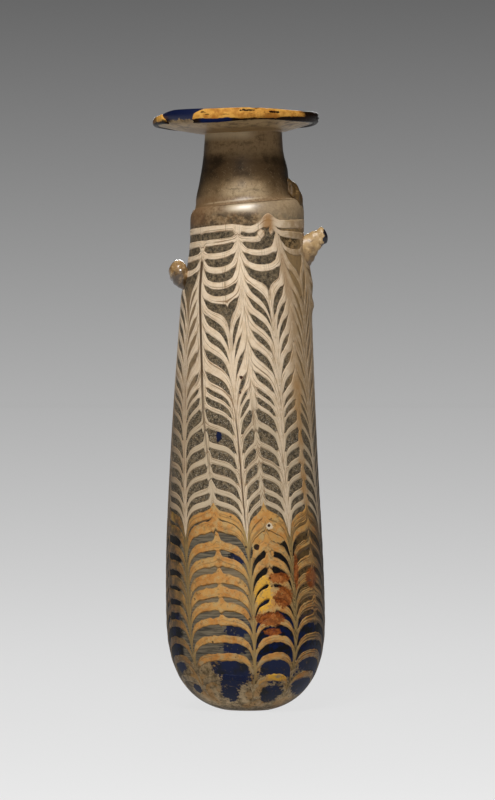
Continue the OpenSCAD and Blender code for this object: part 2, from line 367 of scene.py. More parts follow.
@dataclass
class Skin:
    """A new material with its surface shader and the places that finishes read."""

    name: str
    rough: float
    rough_spread: float = 0.2
    specular: float = 0.08
    coat_rough: float = 0.37
    coat_ior: float = 1.85
    behind: Span = (165.0, 120.0)
    raggedness: float = 2.4
    graph: Graph = field(init=False)
    material: bpy.types.Material = field(init=False)
    place: Field = field(init=False)
    x: Field = field(init=False)
    y: Field = field(init=False)
    angle: Field = field(init=False)
    height: Field = field(init=False)
    made: dict[Noise, Field] = field(init=False, default_factory=dict)

    def __post_init__(self) -> None:
        """Makes the material and reads the object's own coordinates."""
        self.material = bpy.data.materials.new(self.name)
        self.material.use_nodes = True
        self.graph = Graph(self.material.node_tree)
        self.place = self.graph.node("ShaderNodeTexCoord", None, "Object")
        self.x, self.y, z = self.graph.split(self.place)
        self.angle = self.graph.math("ARCTAN2", self.x, -self.y) * (1.0 / RADIAN)
        self.height = z * (1.0 / MM)

    def noise(self, kind: Noise) -> Field:
        """Noise over the object, made once for each kind."""
        if kind not in self.made:
            self.made[kind] = self.graph.noise(self.place, *kind)
        return self.made[kind]

    def facing(self) -> Field:
        """1 at the front and the back, 0 at the two sides that carry the lugs."""
        return abs(self.graph.math("COSINE", self.angle * RADIAN))

    def side(self, angle: Field, low: float, high: float) -> Field:
        """1 on the side of the front that runs from low to high, 0 off it, fading out behind."""
        return self.graph.smooth(angle, low, high) * self.graph.smooth(abs(self.angle), *self.behind)

    def patch(self, patch: Patch, ragged: Value, soft: float = 0.1) -> Field:
        """How far a place is inside a patch.

        Args:
            patch: The patch.
            ragged: Noise from 0 to 1 that breaks up the patch's edge.
            soft: Half the width of the edge's blend, as a share of the patch.

        Returns:
            1 inside and 0 outside.
        """
        across = (self.angle - patch.angle) * (1.0 / patch.half_angle)
        up = (self.height - patch.height) * (1.0 / patch.half_height)
        away = self.graph.math("SQRT", across * across + up * up).ruffled(ragged, self.raggedness)
        return self.graph.smooth(away, 1.0 + soft, 1.0 - soft)

    def patches(self, patches: Sequence[Patch], ragged: Value) -> Field:
        """How far a place is inside any of some patches."""
        return self.graph.most(*(self.patch(patch, ragged) for patch in patches))

    def holed(self, noise: Field, low: float, high: float, depth: float) -> Field:
        """1 with holes of a depth where noise passes a span."""
        return 1.0 - self.graph.smooth(noise, low, high) * depth

    def foot(self, torn: Field) -> Field:
        """The worn film on the foot."""
        g = self.graph
        film = g.mix(g.smooth(torn, 0.34, 0.62), FOOT_DARK, FOOT_FILM)
        worn = g.smooth(self.height, 9.0, 2.5) * (0.2 + g.smooth(torn, 0.36, 0.6) * 0.6)
        return g.mix(worn, film, FOOT_PALE)

    def shoulder(self, grain: Field) -> Field:
        """The film where the neck meets the shoulder."""
        return self.graph.mix(self.graph.smooth(grain, 0.32, 0.66), SHOULDER_DARK, SHOULDER_FILM)

    def rust(self, noise: Field) -> Field:
        """The colour of the rust stains."""
        return self.graph.mix(self.graph.smooth(noise, 0.4, 0.6), RUST_DEEP, RUST_LIGHT)

    def strands(self, sweep: Field, low: float, high: float) -> Field:
        """Dark strands drawn down along the comb's strokes."""
        strands = self.graph.streaks(sweep * 3.4, self.height * 0.06, 1.0, 3.0, 0.7)
        return self.graph.smooth(strands, low, high)

    def groove(self, sweep: Field) -> Field:
        """How far a place is inside the long groove down the left.

        Args:
            sweep: The way round the body before the comb's twist, in millimetres.

        Returns:
            1 inside and 0 outside.
        """
        g = self.graph
        away = abs(sweep - g.course(self.height, GROOVE_LINE)) / g.course(self.height, GROOVE_HALF)
        inside = g.smooth(away, 1.1, 0.7) * g.band(self.height, *GROOVE_BAND)
        return inside * g.course(self.height, GROOVE_DEPTH)

    def surface(
        self, colour: Field, grain: Field, relief: Field, depth: float, coat: Value = 0.0
    ) -> bpy.types.Material:
        """Joins the finish to the surface shader.

        Args:
            colour: The base colour.
            grain: Noise from 0 to 1 that varies the roughness.
            relief: The fine relief, from 0 to 1.
            depth: The relief's depth in millimetres.
            coat: The weight of the polished skin over it.

        Returns:
            The finished material.
        """
        sockets = {
            "Base Color": colour,
            "Normal": self.graph.node("ShaderNodeBump", {"Distance": depth * MM, "Height": relief}),
            "Roughness": self.rough + (grain - 0.5) * self.rough_spread,
            "Specular IOR Level": self.specular,
            "Coat Weight": coat,
            "Coat Roughness": self.coat_rough,
            "Coat IOR": self.coat_ior,
        }
        self.graph.fill(self.material.node_tree.nodes["Principled BSDF"], sockets)
        return self.material


@dataclass(frozen=True)
class WeatheredCobalt:
    """Dark blue glass under a brown-grey film, flaked off in patches near the foot."""

    film_dark: Colour = srgb(58, 50, 40)
    film_light: Colour = srgb(124, 107, 82)
    fleck: Colour = srgb(176, 166, 148)
    right_film: Colour = srgb(150, 122, 84)
    left_film: Colour = srgb(142, 118, 88)
    streak_dark: Colour = srgb(62, 58, 51)
    streak: Colour = srgb(122, 111, 92)
    haze: Colour = srgb(158, 134, 98)
    night: Colour = srgb(16, 15, 17)
    umber: Colour = srgb(34, 28, 20)
    smear: Colour = srgb(188, 138, 76)
    smear_pale: Colour = srgb(178, 150, 102)
    dusk: Colour = srgb(104, 80, 47)
    pit: Colour = srgb(46, 35, 23)
    gleam: Colour = srgb(196, 174, 140)
    russet: Colour = srgb(116, 84, 56)
    broad: Noise = (170.0, 3.0, 0.6)
    torn: Noise = (520.0, 5.0, 0.68)
    grain: Noise = (1300.0, 4.0, 0.65)
    fine: Noise = (4200.0, 2.0, 0.5)
    bare: tuple[Patch, ...] = (
        Patch(-11.0, 10.2, 16.0, 4.2),
        Patch(-15.0, 5.0, 9.0, 2.2),
        Patch(-52.0, 5.8, 6.0, 1.2),
        Patch(-64.0, 12.0, 9.0, 2.4),
        Patch(27.0, 11.0, 17.0, 3.6),
        Patch(25.0, 4.9, 11.0, 2.2),
        Patch(66.0, 7.2, 24.0, 3.2),
        Patch(64.0, 13.0, 22.0, 3.6),
        Patch(-6.0, 21.2, 9.0, 2.1),
        Patch(-7.0, 16.6, 10.0, 1.9),
        Patch(-6.0, 38.6, 6.0, 1.8),
        Patch(-21.0, 68.3, 2.2, 1.5),
    )
    smears: tuple[Patch, ...] = (
        Patch(18.0, 44.2, 15.0, 2.4),
        Patch(18.5, 41.0, 3.2, 2.4),
        Patch(8.5, 41.2, 4.0, 1.9),
    )
    pits: Patch = Patch(50.0, 117.0, 14.0, 2.2)
    low_wall: Span = (47.0, 43.0)
    foot: Span = (13.6, 12.4)
    top: Span = (119.5, 121.5)
    relief: float = 0.06

    def upper_film(self, skin: Skin) -> Field:
        """The speckled and scuffed film between the white threads.

        Args:
            skin: The material in work.

        Returns:
            The film's colour.
        """
        g, angle, height = skin.graph, skin.angle, skin.height
        speckled = g.band(height, (46.0, 56.0), (104.0, 84.0)) * 0.7 + 0.2
        scuff = g.streaks(angle * 0.3, height * 1.5, 2.0, 4.0, 0.75)
        patchy = g.smooth(skin.noise(self.torn), 0.3, 0.6) * 0.5
        right = skin.side(angle, 32.0, 48.0) * g.smooth(height, 66.0, 84.0)
        left = g.band(angle, (-70.0, -64.0), (-42.0, -47.0))
        left = left * g.smooth(height, 74.0, 80.0) * g.smooth(height, 108.0, 102.0)
        return g.glaze(
            self.film_dark,
            (g.smooth(skin.noise(self.grain), 0.34, 0.68), self.film_light),
            (g.smooth(skin.noise(self.fine), 0.56, 0.7) * speckled, self.fleck),
            (g.smooth(scuff, 0.58, 0.7) * 0.4, self.fleck),
            (g.smooth(scuff, 0.46, 0.34) * 0.5, self.umber),
            (right * (patchy + 0.5), self.right_film),
            (left * (patchy + 0.4), self.left_film),
        )

    def lower_glass(self, skin: Skin) -> Field:
        """The wall between the yellow threads: streaked film at the left, dark glass elsewhere.

        Args:
            skin: The material in work.

        Returns:
            The wall's colour.
        """
        g, angle, height = skin.graph, skin.angle, skin.height
        torn = skin.noise(self.torn)
        hair = g.streaks(angle * 0.05, height * 2.6, 0.0, 3.0, 0.7)
        streaked = g.glaze(
            self.streak_dark,
            (g.smooth(hair, 0.36, 0.62), self.streak),
            (g.band(height, (23.5, 27.0), (38.5, 35.0)) * 0.3, self.haze),
        )
        dusky = g.smooth(height.ruffled(skin.noise(self.broad), 12.0), 24.0, 30.0)
        right = skin.side(angle.ruffled(torn, 20.0), 36.0, 46.0) * g.smooth(height, 22.0, 26.0)
        dark = g.glaze(
            self.night,
            (g.smooth(torn, 0.46, 0.56), g.mix(dusky, NAVY, self.umber)),
            (right * g.smooth(skin.noise(self.grain), 0.36, 0.5) * 0.85, self.dusk),
        )
        front = g.smooth(angle.ruffled(torn, 16.0), -56.0, -50.0) * g.smooth(angle, 8.0, 0.0)
        return g.mix(front, dark, streaked)

    def shoulder(self, skin: Skin) -> Field:
        """The rolled shoulder with its painted gleam.

        Args:
            skin: The material in work.

        Returns:
            The shoulder's colour.
        """
        g, angle, height = skin.graph, skin.angle, skin.height
        # Painted highlight: a pale gleam on the front of the roll and a paler glow to its right.
        gleam = g.smooth(abs(angle + 5.0), 23.0, 6.0) * g.smooth(height, 123.2, 124.4)
        speckled = g.smooth(height, 124.2, 122.6) * g.smooth(skin.noise(self.torn), 0.4, 0.6) * 0.8
        return g.glaze(
            skin.shoulder(skin.noise(self.grain)),
            # painted highlight on the roll
            (gleam, self.gleam),
            (speckled, self.film_dark),
            (skin.side(angle, -32.0, -56.0) * 0.6, self.russet),
            # painted light to the right of the gleam
            (skin.side(angle, 8.0, 20.0) * 0.35, self.gleam),
        )

    def build(self) -> bpy.types.Material:
        """Makes the body's material.

        Returns:
            The material.
        """
        skin = Skin("weathered_cobalt", rough=0.52)
        g, height = skin.graph, skin.height
        broad, torn, grain = map(skin.noise, (self.broad, self.torn, self.grain))
        fine = skin.noise(self.fine)
        facing = skin.facing()
        ragged = torn * 0.45 + grain * 0.55
        foot = g.smooth(height.ruffled(torn, 4.0), *self.foot)
        bare = skin.patches(self.bare, ragged) * skin.holed(grain, 0.62, 0.66, 0.8)
        rusted = skin.patches(RUST, ragged) * skin.holed(fine, 0.6, 0.66, 0.6)
        smeared = skin.patches(self.smears, ragged) * skin.holed(grain, 0.58, 0.66, 0.6)
        pitted = skin.patch(self.pits, 0.5, 0.4) * g.smooth(grain, 0.46, 0.52)
        sweep = (skin.angle - Comb().turned(g, height)) * (RADIAN * Comb.stroke_r)
        # Painted shade: the lower wall darkens towards the two sides, off the bare patches.
        lower_side_shade = g.smooth(facing, 0.66, 0.3) * g.smooth(height, 66.0, 46.0) * (1.0 - bare)
        colour = g.glaze(
            self.upper_film(skin),
            (g.smooth(height.ruffled(torn, 6.0), *self.low_wall), self.lower_glass(skin)),
            (foot, skin.foot(torn)),
            (foot * g.smooth(broad, 0.5, 0.6) * 0.55, self.smear),
            (foot * g.smooth(grain, 0.57, 0.64) * 0.65, self.pit),
            (smeared, g.mix(g.smooth(torn, 0.44, 0.6), self.smear, self.smear_pale)),
            (skin.patch(BUBBLE, 0.5), self.pit),
            (bare, g.mix(g.smooth(broad, 0.46, 0.66), NAVY, self.night)),
            (rusted * 0.85, skin.rust(grain)),
            (g.smooth(height, *self.top), self.shoulder(skin)),
            (pitted * 0.9, self.pit),
            (skin.groove(sweep), self.pit),
            # painted shade on the lower sides
            (lower_side_shade * 0.75, self.night),
        )
        bright = g.smooth(height, 122.4, 124.4) * g.smooth(facing, 0.7, 0.95)
        coat = g.most(bare * (1.0 - rusted) * 0.12, bright) * g.smooth(facing, 0.3, 0.75)
        return skin.surface(colour, grain, grain, self.relief, coat)


@dataclass(frozen=True)
class FilmedNeck:
    """Dark glass under a thin brown film with a soft sheen, lighter where it meets the shoulder; the sheen's
    light, the shade below the rim and at the edges, and the light just under the rim are painted.
    """

    top_z: float
    foot_z: float
    tilt: float
    film: Colour = srgb(152, 125, 91)
    # The paler film colour laid where the painted sheen falls.
    worn: Colour = srgb(172, 149, 115)
    # Dark film for hairlines and smudges, also laid as painted shade below the rim and away from the front.
    dark: Colour = srgb(66, 49, 30)
    # Dark blotches, also laid as painted shade at the two edges.
    blotch_and_edge_shade: Colour = srgb(34, 26, 16)
    seam: Colour = srgb(206, 184, 148)
    torn: Noise = (600.0, 4.0, 0.65)
    grain: Noise = (1700.0, 4.0, 0.7)
    notch: Patch = Patch(-74.0, 126.3, 16.0, 0.9)
    seam_rise: float = 0.45
    relief: float = 0.03

    def scratches(self, skin: Skin) -> Field:
        """Two sets of fine scratches that cross each other.

        Args:
            skin: The material in work.

        Returns:
            1 on a scratch and 0 off it.
        """
        g, angle, height = skin.graph, skin.angle, skin.height
        slant = g.streaks(angle * 0.5 + height * 2.6, height * 0.5 - angle * 0.1, 0.0, 3.0, 0.7)
        cross = g.streaks(angle * 0.5 - height * 2.4, height * 0.5 + angle * 0.12, 4.0, 3.0, 0.7)
        return g.most(g.smooth(slant, 0.6, 0.7), g.smooth(cross, 0.6, 0.7))

    def build(self) -> bpy.types.Material:
        """Makes the neck's material.

        Returns:
            The material.
        """
        skin = Skin("filmed_neck", rough=0.45, coat_rough=0.4)
        g, angle, height = skin.graph, skin.angle, skin.height
        torn, grain = skin.noise(self.torn), skin.noise(self.grain)
        blots = g.streaks(angle * 0.03, height * 0.2, 0.0, 5.0, 0.66)
        hair = g.streaks(angle * 0.3, height * 0.6, 0.0, 4.0, 0.75)
        smudge = g.streaks(angle * 0.06, height * 0.7, 6.0, 5.0, 0.72)
        drop = self.top_z - height
        facing = skin.facing()
        shade = g.band(drop, (4.4, 7.6), (17.0, 9.5))
        # Painted highlight: a sheen on the lower front of the neck, laid in the paler film colour.
        sheen = g.smooth(facing + drop * 0.02, 1.1, 1.28) * g.smooth(drop, 9.8, 15.2)
        spots = g.smooth(blots, 0.46, 0.62) * g.smooth(drop, 3.6, 6.6) * g.smooth(drop, 15.0, 9.0)
        foot = g.smooth(drop, 15.4, 17.0)
        shoulder = g.mix(skin.side(angle, -16.0, -40.0) * 0.7, skin.shoulder(grain), SHOULDER_DARK)
        # Painted light: the film just under the rim is paled on the left half.
        painted_light_under_rim = g.smooth(drop, 2.6, 0.6) * g.smooth(angle, 22.0, -6.0)
        # Painted highlight: a pale line along the seam at the neck's foot, across the front only.
        line = abs(height - skin.x * (self.tilt / MM) - self.foot_z - self.seam_rise)
        lit = g.smooth(line, 0.3, 0.05) * g.smooth(angle, -62.0, -40.0) * g.smooth(angle, 30.0, 14.0)
        colour = g.glaze(
            self.film,
            # painted sheen
            (sheen, self.worn),
            (shade * (1.0 - sheen) * 0.92, self.dark),
            # Painted shade: the lower neck darkens away from the front, and most at the two edges.
            (g.smooth(facing, 0.99, 0.8) * g.smooth(drop, 7.0, 10.0) * 0.5, self.dark),
            (g.smooth(facing, 0.72, 0.2) * 0.7, self.blotch_and_edge_shade),
            (spots * 0.7, self.blotch_and_edge_shade),
            (skin.patch(self.notch, torn) * 0.8, self.blotch_and_edge_shade),
            (g.smooth(hair, 0.5, 0.7) * 0.45, self.dark),
            (g.smooth(smudge, 0.48, 0.66) * 0.5, self.dark),
            (g.smooth(torn, 0.6, 0.74) * 0.5, self.blotch_and_edge_shade),
            # Pale scratches, stronger where the painted sheen lies.
            (self.scratches(skin) * g.smooth(drop, 5.0, 10.0) * (0.2 + sheen * 0.45), self.seam),
            (foot, shoulder),
            # painted light just under the rim
            (painted_light_under_rim * 0.7, self.seam),
            # painted highlight along the seam
            (lit * g.smooth(hair, 0.3, 0.5) * 0.35, self.seam),
        )
        polish = sheen * (0.12 + g.smooth(torn, 0.6, 0.4) * 0.15)
        coat = g.most(polish, foot * g.smooth(facing, 0.7, 0.95) * 0.45)
        return skin.surface(colour, grain, torn, self.relief, coat)


@dataclass(frozen=True)
class RimGlass:
    """The rim disk: navy glass, filmed grey-beige underneath and on top."""

    edge_z: float
    edge_r: float
    middle_x: float
    under: Colour = srgb(172, 145, 106)
    throat: Colour = srgb(138, 110, 74)
    grime: Colour = srgb(96, 77, 52)
    navy: Colour = srgb(12, 22, 56)
    brown: Colour = srgb(44, 28, 16)
    noises: tuple[Noise, ...] = ((420.0, 4.0, 0.6), (900.0, 4.0, 0.7), (1600.0, 3.0, 0.6))
    throat_r: Span = (14.5, 11.0)
    relief: float = 0.06

    def build(self) -> bpy.types.Material:
        """Makes the rim disk's material.

        Returns:
            The material.
        """
        skin = Skin("rim_glass", rough=0.45, specular=0.15)
        g = skin.graph
        broad, torn, grain = map(skin.noise, self.noises)
        aside = skin.x * (1.0 / MM) - self.middle_x
        away = g.math("SQRT", aside * aside + skin.y * skin.y * (1.0 / MM**2))
        edge = g.smooth(away.ruffled(torn, 3.0), self.edge_r, self.edge_r + 0.4)
        edge = edge * g.smooth(skin.height.ruffled(torn, 2.6), self.edge_z + 0.3, self.edge_z + 0.7)
        right = skin.side(skin.angle.ruffled(broad, 8.0), -10.0, -4.0)
        colour = g.glaze(
            self.under,
            (g.smooth(broad, 0.42, 0.66) * 0.85, self.grime),
            (g.smooth(away.ruffled(broad, 2.0), *self.throat_r), self.throat),
            (edge, g.mix(right, self.navy, self.brown)),
        )
        return skin.surface(colour, grain, grain, self.relief, edge * 0.25)


@dataclass(frozen=True)
class CreamThread:
    """Opaque cream glass, worn satin, with brown hairlines along the thread."""

    cream: Colour = srgb(232, 210, 181)
    tan: Colour = srgb(211, 182, 145)
    grey: Colour = srgb(198, 178, 149)
    edge: Colour = srgb(168, 138, 104)
    hairline: Colour = srgb(126, 96, 64)
    amber: Colour = srgb(160, 118, 72)
    groove: Colour = srgb(80, 60, 39)
    ochre: Colour = srgb(172, 124, 62)
    brown: Colour = srgb(172, 142, 104)
    hole: Colour = srgb(58, 26, 12)
    broad: Noise = (150.0, 3.0, 0.6)
    torn: Noise = (620.0, 4.0, 0.65)
    grain: Noise = (2200.0, 3.0, 0.6)
    stain_line: Course = ((60.0, 8.75), (88.0, 9.9), (112.0, 9.9), (118.0, 8.75), (124.0, 6.6))
    stain_half: Course = ((60.0, 1.7), (84.0, 2.2), (112.0, 1.5), (122.0, 1.8))
    seam_sweep: float = -7.5
    seam_band: Band = ((42.0, 50.0), (76.0, 70.0))
    knot: Patch = Patch(22.5, 120.4, 5.4, 2.8)
    holes: tuple[Patch, ...] = (Patch(-3.5, 82.9, 1.3, 0.4), Patch(-4.2, 79.0, 0.9, 0.3))
    relief: float = 0.05

    def worn(self, skin: Skin, lines: Field) -> Field:
        """The glass with its worn edges and hairlines.

        Args:
            skin: The material in work.
            lines: Noise along the thread.

        Returns:
            The glass's colour.
        """
        g, height = skin.graph, skin.height
        across, near, rise = map(g.mark, (Mark.ACROSS, Mark.NEAR, Mark.RISE))
        sweep = g.mark(Mark.SWEEP)
        broad, torn = skin.noise(self.broad), skin.noise(self.torn)
        thin = g.streaks(across * 9.0, sweep * 0.05, g.mark(Mark.TURN) * 5.3, 2.0, 0.6)
        stem = g.smooth(near, 1.5, 0.4)
        crest = g.smooth(rise, 1.3, 0.4) * g.smooth(height, 84.0, 76.0)
        low = g.smooth(height.ruffled(broad, 14.0), 80.0, 70.0)
        joined = g.smooth(rise, 1.3, 0.5) * 0.75
        edge = abs(across - 0.5) * 2.0
        worn = g.smooth(edge.ruffled(torn, 0.6), 0.66, 1.05) * (1.0 - joined) * 0.6
        drawn = g.most(g.smooth(near, 1.7, 0.7), g.smooth(rise, 1.5, 0.6))
        return g.glaze(
            self.cream,
            (g.smooth(torn, 0.4, 0.66) * 0.55, self.tan),
            (low * (1.0 - stem * 0.75), self.grey),
            (worn * (1.0 - crest), self.edge),
            (crest * 0.55, self.grey),
            (g.smooth(lines, 0.52, 0.72) * 0.35, self.tan),
            (g.smooth(thin, 0.55, 0.63) * g.smooth(broad, 0.34, 0.54) * 0.85, self.hairline),
            (skin.strands(sweep, 0.53, 0.63) * drawn * 0.7, self.hairline),
        )

    def build(self) -> bpy.types.Material:
        """Makes the white threads' material.

        Returns:
            The material.
        """
        skin = Skin("cream_thread", rough=0.5, specular=0.16)
        g, angle, height = skin.graph, skin.angle, skin.height
        sweep = g.mark(Mark.SWEEP)
        broad, torn, grain = map(skin.noise, (self.broad, self.torn, self.grain))
        lines = g.streaks(g.mark(Mark.ACROSS) * 4.0, sweep * 0.07, g.mark(Mark.TURN) * 3.1, 2.0, 0.6)
        right = skin.side(angle, 30.0, 52.0) * g.smooth(height, 60.0, 78.0)
        left = skin.side(angle, -34.0, -62.0) * g.smooth(height, 100.0, 72.0)
        # Painted shade: the lower threads darken towards the two sides.
        thread_side_shade = g.smooth(skin.facing(), 0.5, 0.15) * g.smooth(height, 92.0, 60.0)
        away = abs(sweep - g.course(height, self.stain_line)) / g.course(height, self.stain_half)
        stain = g.smooth(away.ruffled(torn, 1.6), 1.2, 0.2) * g.smooth(height, 44.0, 54.0)
        stain = stain * (0.35 + g.smooth(broad, 0.4, 0.6) * 0.4)
        seam = g.smooth(abs((sweep - self.seam_sweep).ruffled(broad, 0.5)), 0.22, 0.1)
        seam = seam * g.band(height, *self.seam_band)
        colour = g.glaze(
            self.worn(skin, lines),
            (right * (0.55 + g.smooth(torn, 0.35, 0.6) * 0.35), self.brown),
            (left * 0.45, self.hairline),
            # painted shade at the sides, in the groove's dark colour
            (thread_side_shade * 0.6, self.groove),
            (stain, g.mix(g.smooth(height, 74.0, 92.0), self.ochre, self.edge)),
            (skin.groove(sweep), self.groove),
            (seam * 0.85, self.groove),
            (g.smooth(grain, 0.58, 0.76) * 0.3, self.edge),
            (skin.patch(self.knot, torn * 0.5 + 0.25, 0.6) * 0.9, self.amber),
            (skin.patches(self.holes, grain), self.hole),
        )
        return skin.surface(colour, grain, lines, self.relief)


@dataclass(frozen=True)
class OchreThread:
    """Opaque yellow-ochre glass, worn satin, with rust stains and a few bright spots."""

    ochre: Colour = srgb(200, 150, 84)
    orange: Colour = srgb(190, 130, 66)
    pale: Colour = srgb(190, 160, 108)
    hairline: Colour = srgb(124, 98, 64)
    olive: Colour = srgb(150, 130, 84)
    bright: Colour = srgb(226, 172, 58)
    grime: Colour = srgb(70, 54, 34)
    hole: Colour = srgb(46, 22, 12)
    ring: Colour = srgb(214, 196, 166)
    broad: Noise = (220.0, 3.0, 0.6)
    soil: Noise = (330.0, 6.0, 0.74)
    torn: Noise = (620.0, 5.0, 0.68)
    speck: Noise = (1100.0, 4.0, 0.72)
    grain: Noise = (2000.0, 3.0, 0.6)
    pit_scale: float = 380.0
    bright_spots: tuple[Patch, ...] = (
        Patch(13.0, 30.0, 6.0, 4.6),
        Patch(27.0, 9.4, 8.0, 1.4),
        Patch(-66.0, 47.0, 4.0, 5.0),
    )
    holes: tuple[Patch, ...] = (BUBBLE, Patch(17.5, 46.4, 1.1, 0.36))
    ring_spot: Patch = Patch(18.2, 46.2, 2.6, 0.75)
    lost: Patch = Patch(-9.0, 9.2, 13.0, 2.6)
    relief: float = 0.05

    def worn(self, skin: Skin, lines: Field) -> Field:
        """The glass with its worn edges, specks and hairlines.

        Args:
            skin: The material in work.
            lines: Noise along the thread.

        Returns:
            The glass's colour.
        """
        g = skin.graph
        across, near, sweep = map(g.mark, (Mark.ACROSS, Mark.NEAR, Mark.SWEEP))
        torn = skin.noise(self.torn)
        thin = g.streaks(across * 8.0, sweep * 0.06, g.mark(Mark.TURN) * 5.3, 2.0, 0.6)
        edge = abs(across - 0.5) * 2.0
        return g.glaze(
            self.ochre,
            (g.smooth(skin.noise(self.broad), 0.4, 0.62), self.orange),
            (g.smooth(torn, 0.46, 0.62) * 0.75, self.pale),
            (g.smooth(skin.noise(self.speck), 0.57, 0.65) * 0.7, self.hairline),
            (g.smooth(skin.noise(self.soil), 0.53, 0.66) * 0.4, self.grime),
            (g.smooth(near + (torn - 0.5), 1.2, 0.3) * 0.75, self.olive),
            (g.smooth(edge.ruffled(torn, 0.8), 0.7, 1.05) * 0.5, self.hairline),
            (g.smooth(lines, 0.54, 0.66) * 0.7, self.hairline),
            (skin.strands(sweep, 0.52, 0.62) * g.smooth(near, 1.7, 0.7) * 0.6, self.hairline),
            (g.smooth(thin, 0.47, 0.58) * skin.side(skin.angle, 24.0, 38.0) * 0.85, self.grime),
        )

    def build(self) -> bpy.types.Material:
        """Makes the yellow thread's material.

        Returns:
            The material.
        """
        skin = Skin("ochre_thread", rough=0.48, rough_spread=0.25, specular=0.16)
        g, angle, height = skin.graph, skin.angle, skin.height
        torn, grain, specks = map(skin.noise, (self.torn, self.grain, self.speck))
        sweep = g.mark(Mark.SWEEP)
        lines = g.streaks(g.mark(Mark.ACROSS) * 5.0, sweep * 0.07, g.mark(Mark.TURN) * 2.7, 3.0, 0.65)
        ragged = torn * 0.45 + grain * 0.55
        bright = skin.patches(self.bright_spots, ragged) * skin.holed(specks, 0.5, 0.62, 0.7)
        rusted = skin.patches(RUST, ragged) * skin.holed(grain, 0.58, 0.64, 0.5)
        # Painted shade: darker on the lower left, on the right side and towards both sides.
        yellow_side_shade = g.most(
            skin.side(angle, -32.0, -62.0) * g.smooth(height, 60.0, 46.0),
            skin.side(angle, 46.0, 70.0) * 0.6,
            g.smooth(skin.facing(), 0.56, 0.28),
        )
        foot = g.most(
            g.smooth(height.ruffled(torn, 8.0), 12.4, 10.4) * skin.side(angle, 10.0, 4.0),
            g.smooth(torn, 0.54, 0.58) * g.smooth(height, 18.0, 9.0),
        )
        pits = g.smooth(g.cells(skin.place, self.pit_scale), 0.15, 0.09) * g.smooth(torn, 0.46, 0.52)
        colour = g.glaze(
            self.worn(skin, lines),
            (bright * 0.8, self.bright),
            (rusted * 0.9, skin.rust(torn)),
            # painted shade at the sides, in the grime colour
            (yellow_side_shade * (0.62 + g.smooth(torn, 0.35, 0.6) * 0.34), self.grime),
            (foot, skin.foot(torn)),
            (skin.patch(self.lost, ragged), NAVY),
            (skin.patch(self.ring_spot, grain), self.ring),
            (skin.patches(self.holes, grain * 0.3 + 0.35), self.hole),
            (g.smooth(grain, 0.6, 0.76) * 0.35, self.hairline),
            (pits * 0.85, self.hole),
        )
        return skin.surface(colour, grain, lines, self.relief)


@dataclass(frozen=True)
class RimOchre:
    """The rim's yellow edge thread, with brown grime in its cracks and painted shade along its underside."""

    foot_z: float
    ochre: Colour = srgb(216, 160, 76)
    deep: Colour = srgb(170, 110, 44)
    grime: Colour = srgb(30, 18, 9)
    navy: Colour = srgb(14, 26, 66)
    broad: Noise = (330.0, 4.0, 0.62)
    grain: Noise = (1800.0, 3.0, 0.6)
    tip_x: float = -22.3
    slits: tuple[Patch, ...] = (Patch(1.4, 148.3, 5.0, 0.24), Patch(20.5, 148.0, 5.4, 0.27))
    chip: Band = ((46.0, 56.0), (118.0, 104.0))
    blue: Band = ((-33.0, -29.0), (-8.0, -11.0))
    relief: float = 0.12

    def build(self) -> bpy.types.Material:
        """Makes the rim thread's material.

        Returns:
            The material.
        """
        skin = Skin("rim_ochre", rough=0.4, rough_spread=0.3, specular=0.03)
        g, angle, height = skin.graph, skin.angle, skin.height
        broad, grain = skin.noise(self.broad), skin.noise(self.grain)
        run = g.streaks(angle * 0.09, height * 1.3, 0.0, 3.0, 0.6)
        climb = skin.side(angle, 0.0, 50.0) * 0.9 + skin.side(angle, -38.0, -32.0) * 0.15
        # Painted shade: a dark line along the thread's underside, rising on the right; navy glass shows in it
        # along one stretch.
        under = g.smooth((height - climb).ruffled(broad, 1.0), self.foot_z + 0.12, self.foot_z - 0.08)
        chipped = g.smooth(angle.ruffled(broad, 24.0), *self.chip[0]) * g.smooth(angle, *self.chip[1])
        tip = g.smooth((skin.x * (1.0 / MM)).ruffled(broad, 1.6), self.tip_x + 0.2, self.tip_x - 0.2)
        cracks = g.smooth(run, 0.6, 0.66) * 0.85
        dirt_and_under_shade = g.most(under, cracks, skin.patches(self.slits, grain), tip * 0.7, chipped)
        blue = g.band(angle, *self.blue) * under
        colour = g.glaze(
            self.ochre,
            (g.smooth(broad, 0.4, 0.64), self.deep),
            # grime in cracks and painted shade under the thread
            (dirt_and_under_shade, g.mix(blue, self.grime, self.navy)),
        )
        return skin.surface(colour, grain, grain, self.relief)


@dataclass(frozen=True)
class LugGlass:
    """Filmed amber-brown glass of a lug, mottled and pitted."""

    name: str
    base: Colour
    dark: Colour
    tip: Colour
    tip_x: float
    low_z: float
    coat_rough: float
    coat: float
    pale: Colour = srgb(222, 198, 158)
    noises: tuple[Noise, ...] = ((380.0, 4.0, 0.6), (1100.0, 4.0, 0.65), (2400.0, 3.0, 0.6))
    low_soft: float = 1.6
    tip_soft: float = 0.2
    relief: float = 0.12

    def build(self) -> bpy.types.Material:
        """Makes a lug's material.

        Returns:
            The material.
        """
        skin = Skin(self.name, rough=0.42, specular=0.2, coat_rough=self.coat_rough, coat_ior=1.6)
        g = skin.graph
        broad, torn, grain = map(skin.noise, self.noises)
        height = skin.height.ruffled(broad, 9.0)
        low = g.smooth(height, self.low_z + self.low_soft, self.low_z - self.low_soft)
        out = (skin.x * (1.0 / MM)).ruffled(torn, 5.0)
        colour = g.glaze(
            self.base,
            (low * 0.85, self.dark),
            (g.smooth(torn, 0.56, 0.64) * 0.6, self.dark),
            (g.smooth(torn, 0.44, 0.36) * (1.0 - low) * 0.6, self.pale),
            (g.smooth(out, self.tip_x - self.tip_soft, self.tip_x + self.tip_soft), self.tip),
        )
        return skin.surface(colour, grain, torn, self.relief, self.coat)


